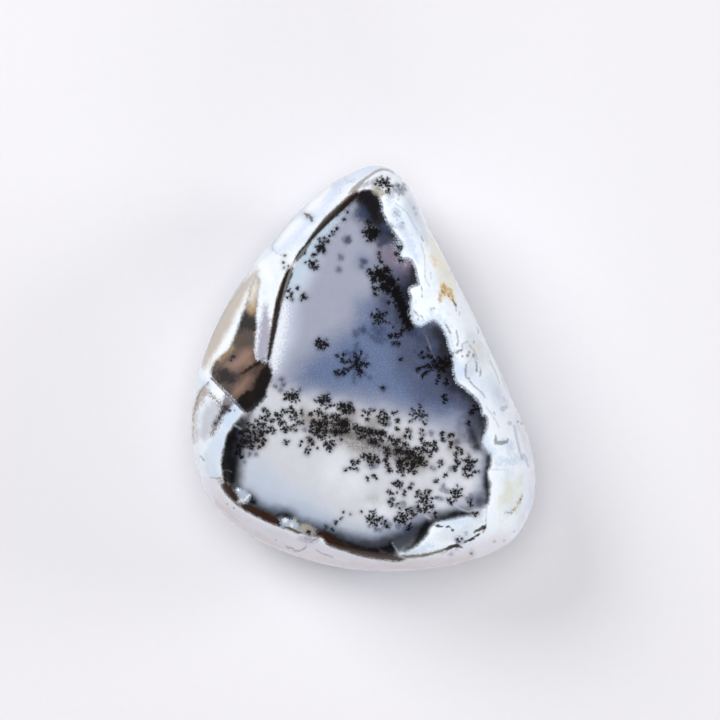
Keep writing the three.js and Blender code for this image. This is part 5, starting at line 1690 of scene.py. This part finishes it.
def lobe_group():
    """The mask of an ink whose inside breaks up into lobes towards its rim."""
    inputs = (("Vector", None), ("Distance", 1.0), ("Softness", 0.2), ("Spread", 0.0), ("Lobes", 0.0),
              ("Noise", 0.0), ("Strength", 1.0))
    group, maker, source = new_group("ink_lobes", inputs, ["Mask"])
    cells = maker.add("ShaderNodeTexVoronoi", {"Vector": source["Vector"], "Scale": 1 / (LOBE_SIZE * MM)})
    lobed = maker.math("SUBTRACT", cells.outputs["Distance"], LOBE_MIDDLE)
    lobed = maker.math("MULTIPLY_ADD", lobed, source["Lobes"], source["Distance"])
    lobed = maker.math("MULTIPLY_ADD", source["Noise"], INK_RAGGEDNESS, lobed)
    end_with_mask(maker, source, maker.math("SUBTRACT", lobed, source["Spread"]))
    return group


# The clouds, wisps and flecks in the rind, and the dust in the blue: the noise's value where each starts to
# show, the value where it shows most, and how much it covers there
CLOUDS = (0.45, 0.68, 0.8)
WISPS = (-0.1, 1.1, 0.45)
FLECKS = (0.7, 1.6, 0.5)
DUST = (0.52, 0.75, 0.45)
CLOUD_SCALE = 120.0
CLOUD_DETAIL = {"Detail": 4.0, "Roughness": 0.5, "Distortion": 0.6}
STREAKS_IN_WISPS = 0.5
FINE_IN_FLECKS, COARSE_IN_FLECKS = 0.6, 0.4
DUST_SIZE = 0.2  # mm
UNEVENNESS = 0.02  # of the brightness
# The polish: its unevenness, and the seams and cracks, which are shallow grooves
GROOVES = ("veins", "dark_seam", "olive_seam")
GROOVE_DEPTH = 0.00004  # metres
GROOVE_STRENGTH = 0.3
GROOVE_ROUGHNESS = 0.25
SURFACE_WAVES = 0.15  # against the grooves' depth
SURFACE_PATCHES = 0.015
REFRACTION = 1.4
SHINE = 0.32


def ground_colour(maker, place, grains, colours):
    """The white of the whole stone, with clouds, wisps and flecks."""
    shade = linear(colours.rind_shade)
    clouds = maker.noise(place, CLOUD_SCALE, **CLOUD_DETAIL)
    wisps = maker.math("MULTIPLY_ADD", grains["Streaky"], STREAKS_IN_WISPS, grains["Medium"])
    flecks = maker.math("MULTIPLY_ADD", grains["Fine"], FINE_IN_FLECKS, grains["Medium"])
    flecks = maker.math("MULTIPLY_ADD", grains["Coarse"], COARSE_IN_FLECKS, flecks)
    colour = maker.mix(maker.ramp(clouds, *CLOUDS), linear(colours.rind), shade)
    colour = maker.mix(maker.ramp(wisps, *WISPS), colour, shade)
    return maker.mix(maker.ramp(flecks, *FLECKS), colour, linear(colours.veil))


def paint_layers(maker, grains, colours, colour):
    """Mixes the layers over a colour, and returns what that gives and each layer's mask."""
    soft_edge = soft_edge_group()
    regions, masks = {}, {}
    for name, tint, soft, ragged, grain, strength, within, _ in BACK_LAYERS + SIDE_LAYERS + LAYERS:
        whole = maker.group(soft_edge, {
            "Distance": maker.attribute(name), "Softness": soft, "Raggedness": ragged,
            "Noise": grains[grain.title()], "Strength": strength,
        }).outputs["Mask"]
        masks[name] = maker.math("MULTIPLY", whole, regions[within]) if within in regions else whole
        colour = maker.mix(masks[name], colour, linear(getattr(colours, tint)))
        if name == "milk":
            regions["window"] = whole
            regions["rind"] = maker.math("SUBTRACT", 1.0, whole)
        if name == "side_window":
            regions["side"] = whole
    return colour, masks


def ink_dendrites(maker, place, grains, colours, colour, band):
    """Inks the dendrites over a colour, browner within the mask of the dense band."""
    lobes = lobe_group()
    brown = maker.mix(band, linear(colours.ink), linear(colours.brown_ink))
    for name, tint, softness, spread, depth, strength in INKS:
        mask = maker.group(lobes, {
            "Vector": place, "Distance": maker.attribute(name), "Softness": softness, "Spread": spread,
            "Lobes": depth, "Noise": grains["Frosty"], "Strength": strength,
        }).outputs["Mask"]
        over = brown if name == tint else linear(getattr(colours, tint))
        colour = maker.mix(mask, colour, over)
    return colour


def uneven_colour(maker, place, grains, colour, dusty):
    """Makes a colour a little uneven, with pale dust where the mask dusty is."""
    dots = maker.noise(place, 1 / (DUST_SIZE * MM), Detail=1.0)
    dust = maker.math("MULTIPLY", maker.ramp(dots, *DUST, "LINEAR"), dusty)
    shade = maker.math("ADD", 1.0, dust)
    for grain in ("Fine", "Medium"):
        shade = maker.math("MULTIPLY_ADD", grains[grain], UNEVENNESS, shade)
    inputs = {0: 1.0, 6: colour, 7: shade}
    return maker.add("ShaderNodeMix", inputs, data_type="RGBA", blend_type="MULTIPLY").outputs[2]


def polish(maker, grains, masks, roughness):
    """The roughness and the normal of the surface."""
    groove = masks[GROOVES[0]]
    for name in GROOVES[1:]:
        groove = maker.math("MAXIMUM", groove, masks[name])
    waves = maker.math("MULTIPLY", grains["Coarse"], SURFACE_WAVES)
    height = maker.math("MULTIPLY_ADD", groove, -1.0, waves)
    bump = maker.add("ShaderNodeBump", {
        "Height": height, "Strength": GROOVE_STRENGTH, "Distance": GROOVE_DEPTH,
    })
    rough = maker.math("MULTIPLY_ADD", grains["Medium"], SURFACE_PATCHES, roughness)
    rough = maker.math("MULTIPLY_ADD", groove, GROOVE_ROUGHNESS, rough)
    return rough, bump.outputs[0]


def opal_material(shape, colours):
    material = bpy.data.materials.new("opal")
    material.use_nodes = True
    tree = material.node_tree
    tree.nodes.clear()
    maker = NodeMaker(tree)
    place = maker.add("ShaderNodeTexCoord").outputs["Object"]
    grains = maker.group(grain_group(), {"Vector": place}).outputs
    ground = ground_colour(maker, place, grains, colours)
    painted, masks = paint_layers(maker, grains, colours, ground)
    inked = ink_dendrites(maker, place, grains, colours, painted, masks["band_halo"])
    rough, normal = polish(maker, grains, masks, shape.roughness)
    shader = maker.add("ShaderNodeBsdfPrincipled", {
        "Base Color": uneven_colour(maker, place, grains, inked, masks["horizon"]),
        "Roughness": rough, "IOR": REFRACTION, "Normal": normal, "Specular IOR Level": SHINE,
    })
    maker.add("ShaderNodeOutputMaterial", {"Surface": shader.outputs[0]})
    return material


# The stage
FLOOR_RINGS = 24
FLOOR_SPOKES = 96
FLOOR_FLAT_SHARE = 0.7  # of its radius, past which the floor rises
FLOOR_RISE = 1.2  # how steeply it does
FLOOR_GRAIN = 900.0  # specks to a metre
FLOOR_DIMMING = 0.99  # of the specks
FLOOR_ROUGHNESS = 0.7


def floor_mesh(radius):
    """A round floor that rises in a sweep at its rim."""
    verts, faces = [(0, 0, 0)], []
    for ring in range(1, FLOOR_RINGS + 1):
        share = ring / FLOOR_RINGS
        rise = radius * FLOOR_RISE * max(0, share - FLOOR_FLAT_SHARE) ** 2
        for spoke in range(FLOOR_SPOKES):
            turn = 2 * math.pi * spoke / FLOOR_SPOKES
            verts.append((radius * share * math.cos(turn), radius * share * math.sin(turn), rise))
    for spoke in range(FLOOR_SPOKES):
        after = (spoke + 1) % FLOOR_SPOKES
        faces.append((0, 1 + spoke, 1 + after))
        for ring in range(FLOOR_RINGS - 1):
            inner, outer = 1 + ring * FLOOR_SPOKES, 1 + (ring + 1) * FLOOR_SPOKES
            faces.append((inner + spoke, outer + spoke, outer + after, inner + after))
    mesh = bpy.data.meshes.new("floor")
    mesh.from_pydata(verts, [], faces)
    mesh.shade_smooth()
    return mesh


def floor_material(colour):
    material = bpy.data.materials.new("floor")
    material.use_nodes = True
    maker = NodeMaker(material.node_tree)
    shader = material.node_tree.nodes["Principled BSDF"]
    place = maker.add("ShaderNodeTexCoord").outputs["Object"]
    noise = maker.noise(place, FLOOR_GRAIN, Detail=2.0)
    paper = maker.mix(noise, linear([c * FLOOR_DIMMING for c in colour]), linear(colour))
    material.node_tree.links.new(paper, shader.inputs["Base Color"])
    shader.inputs["Roughness"].default_value = FLOOR_ROUGHNESS
    return material


# The lights: name, the way each stands in plan, its height in degrees, distance and size (metres),
# watts, and whether the polish mirrors it
LIGHTS = (
    ("key_light", 140, 42, 0.7, 0.35, 2.4, True),
    ("right_light", 10, 24, 0.8, 0.3, 1.9, False),
    ("base_light", -80, 16, 0.8, 0.4, 1.7, False),
    ("top_light", 90, 84, 0.9, 0.6, 4.2, False),
)
CAMERA_CLIP = (0.01, 20)
WORLD_COLOUR = (0.95, 0.97, 1.0, 1.0)
WORLD_STRENGTH = 0.12


def add_light(name, towards, height, distance, size, watts, mirrored):
    light = bpy.data.lights.new(name, "AREA")
    light.shape = "DISK"
    light.size = size
    light.energy = watts
    lamp = bpy.data.objects.new(name, light)
    way, up = math.radians(towards), math.radians(height)
    out = Vector((math.cos(way) * math.cos(up), math.sin(way) * math.cos(up), math.sin(up)))
    lamp.location = out * distance
    lamp.rotation_euler = out.to_track_quat("Z", "Y").to_euler()
    lamp.visible_glossy = mirrored
    bpy.context.collection.objects.link(lamp)


def add_camera(eye_height):
    camera = bpy.data.cameras.new("camera")
    camera.sensor_width = SENSOR_WIDTH
    camera.lens = SENSOR_WIDTH * eye_height / (FRAME_WIDTH * MM)
    camera.clip_start, camera.clip_end = CAMERA_CLIP
    eye = bpy.data.objects.new("camera", camera)
    eye.location = (EYE_PLACE[0] * MM, EYE_PLACE[1] * MM, REST_HEIGHT * MM + eye_height)
    bpy.context.collection.objects.link(eye)
    bpy.context.scene.camera = eye


class OPAL_OT_stone(bpy.types.Operator):
    """Make the polished opal with all that is drawn in it"""

    bl_idname = "opal.stone"
    bl_label = "Opal stone"

    def execute(self, context):
        shape, colours = context.scene.opal_shape, context.scene.opal_colours
        stone = build_stone(shape.finest_edge / MM, shape.most_faces)
        stone.data.materials.append(opal_material(shape, colours))
        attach(stone, "root")
        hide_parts("dendritic_opal")
        return {"FINISHED"}


class OPAL_OT_stage(bpy.types.Operator):
    """Make the floor, the lights and the camera"""

    bl_idname = "opal.stage"
    bl_label = "Stage"

    def execute(self, context):
        stage = context.scene.opal_stage
        floor = bpy.data.objects.new("floor", floor_mesh(stage.floor_radius))
        floor.data.materials.append(floor_material(stage.floor_colour))
        bpy.context.collection.objects.link(floor)
        for light in LIGHTS:
            *first, watts, mirrored = light
            add_light(*first, watts * stage.brightness, mirrored)
        add_camera(stage.eye_height)
        world = bpy.data.worlds.new("soft_room")
        world.use_nodes = True
        background = world.node_tree.nodes["Background"]
        background.inputs["Color"].default_value = WORLD_COLOUR
        background.inputs["Strength"].default_value = WORLD_STRENGTH
        context.scene.world = world
        context.scene.view_settings.view_transform = "Standard"
        return {"FINISHED"}


class OPAL_PT_panel(bpy.types.Panel):
    """The opal's sizes and colours, and what makes its pieces"""

    bl_label = "Dendritic opal"
    bl_idname = "OPAL_PT_panel"
    bl_space_type = "VIEW_3D"
    bl_region_type = "UI"
    bl_category = "Opal"

    def draw(self, context):
        for operator in (OPAL_OT_stone, OPAL_OT_stage):
            self.layout.operator(operator.bl_idname)
        for group in (context.scene.opal_shape, context.scene.opal_stage, context.scene.opal_colours):
            for name in group.__annotations__:
                self.layout.prop(group, name)


CLASSES = (OpalColours, OpalShape, OpalStage, OPAL_OT_stone, OPAL_OT_stage, OPAL_PT_panel)


def register():
    for cls in CLASSES:
        bpy.utils.register_class(cls)
    bpy.types.Scene.opal_colours = PointerProperty(type=OpalColours)
    bpy.types.Scene.opal_shape = PointerProperty(type=OpalShape)
    bpy.types.Scene.opal_stage = PointerProperty(type=OpalStage)


def unregister():
    del bpy.types.Scene.opal_stage
    del bpy.types.Scene.opal_shape
    del bpy.types.Scene.opal_colours
    for cls in reversed(CLASSES):
        bpy.utils.unregister_class(cls)


def main():
    register()
    bpy.ops.opal.stone()
    bpy.ops.opal.stage()


if __name__ == "__main__":
    main()
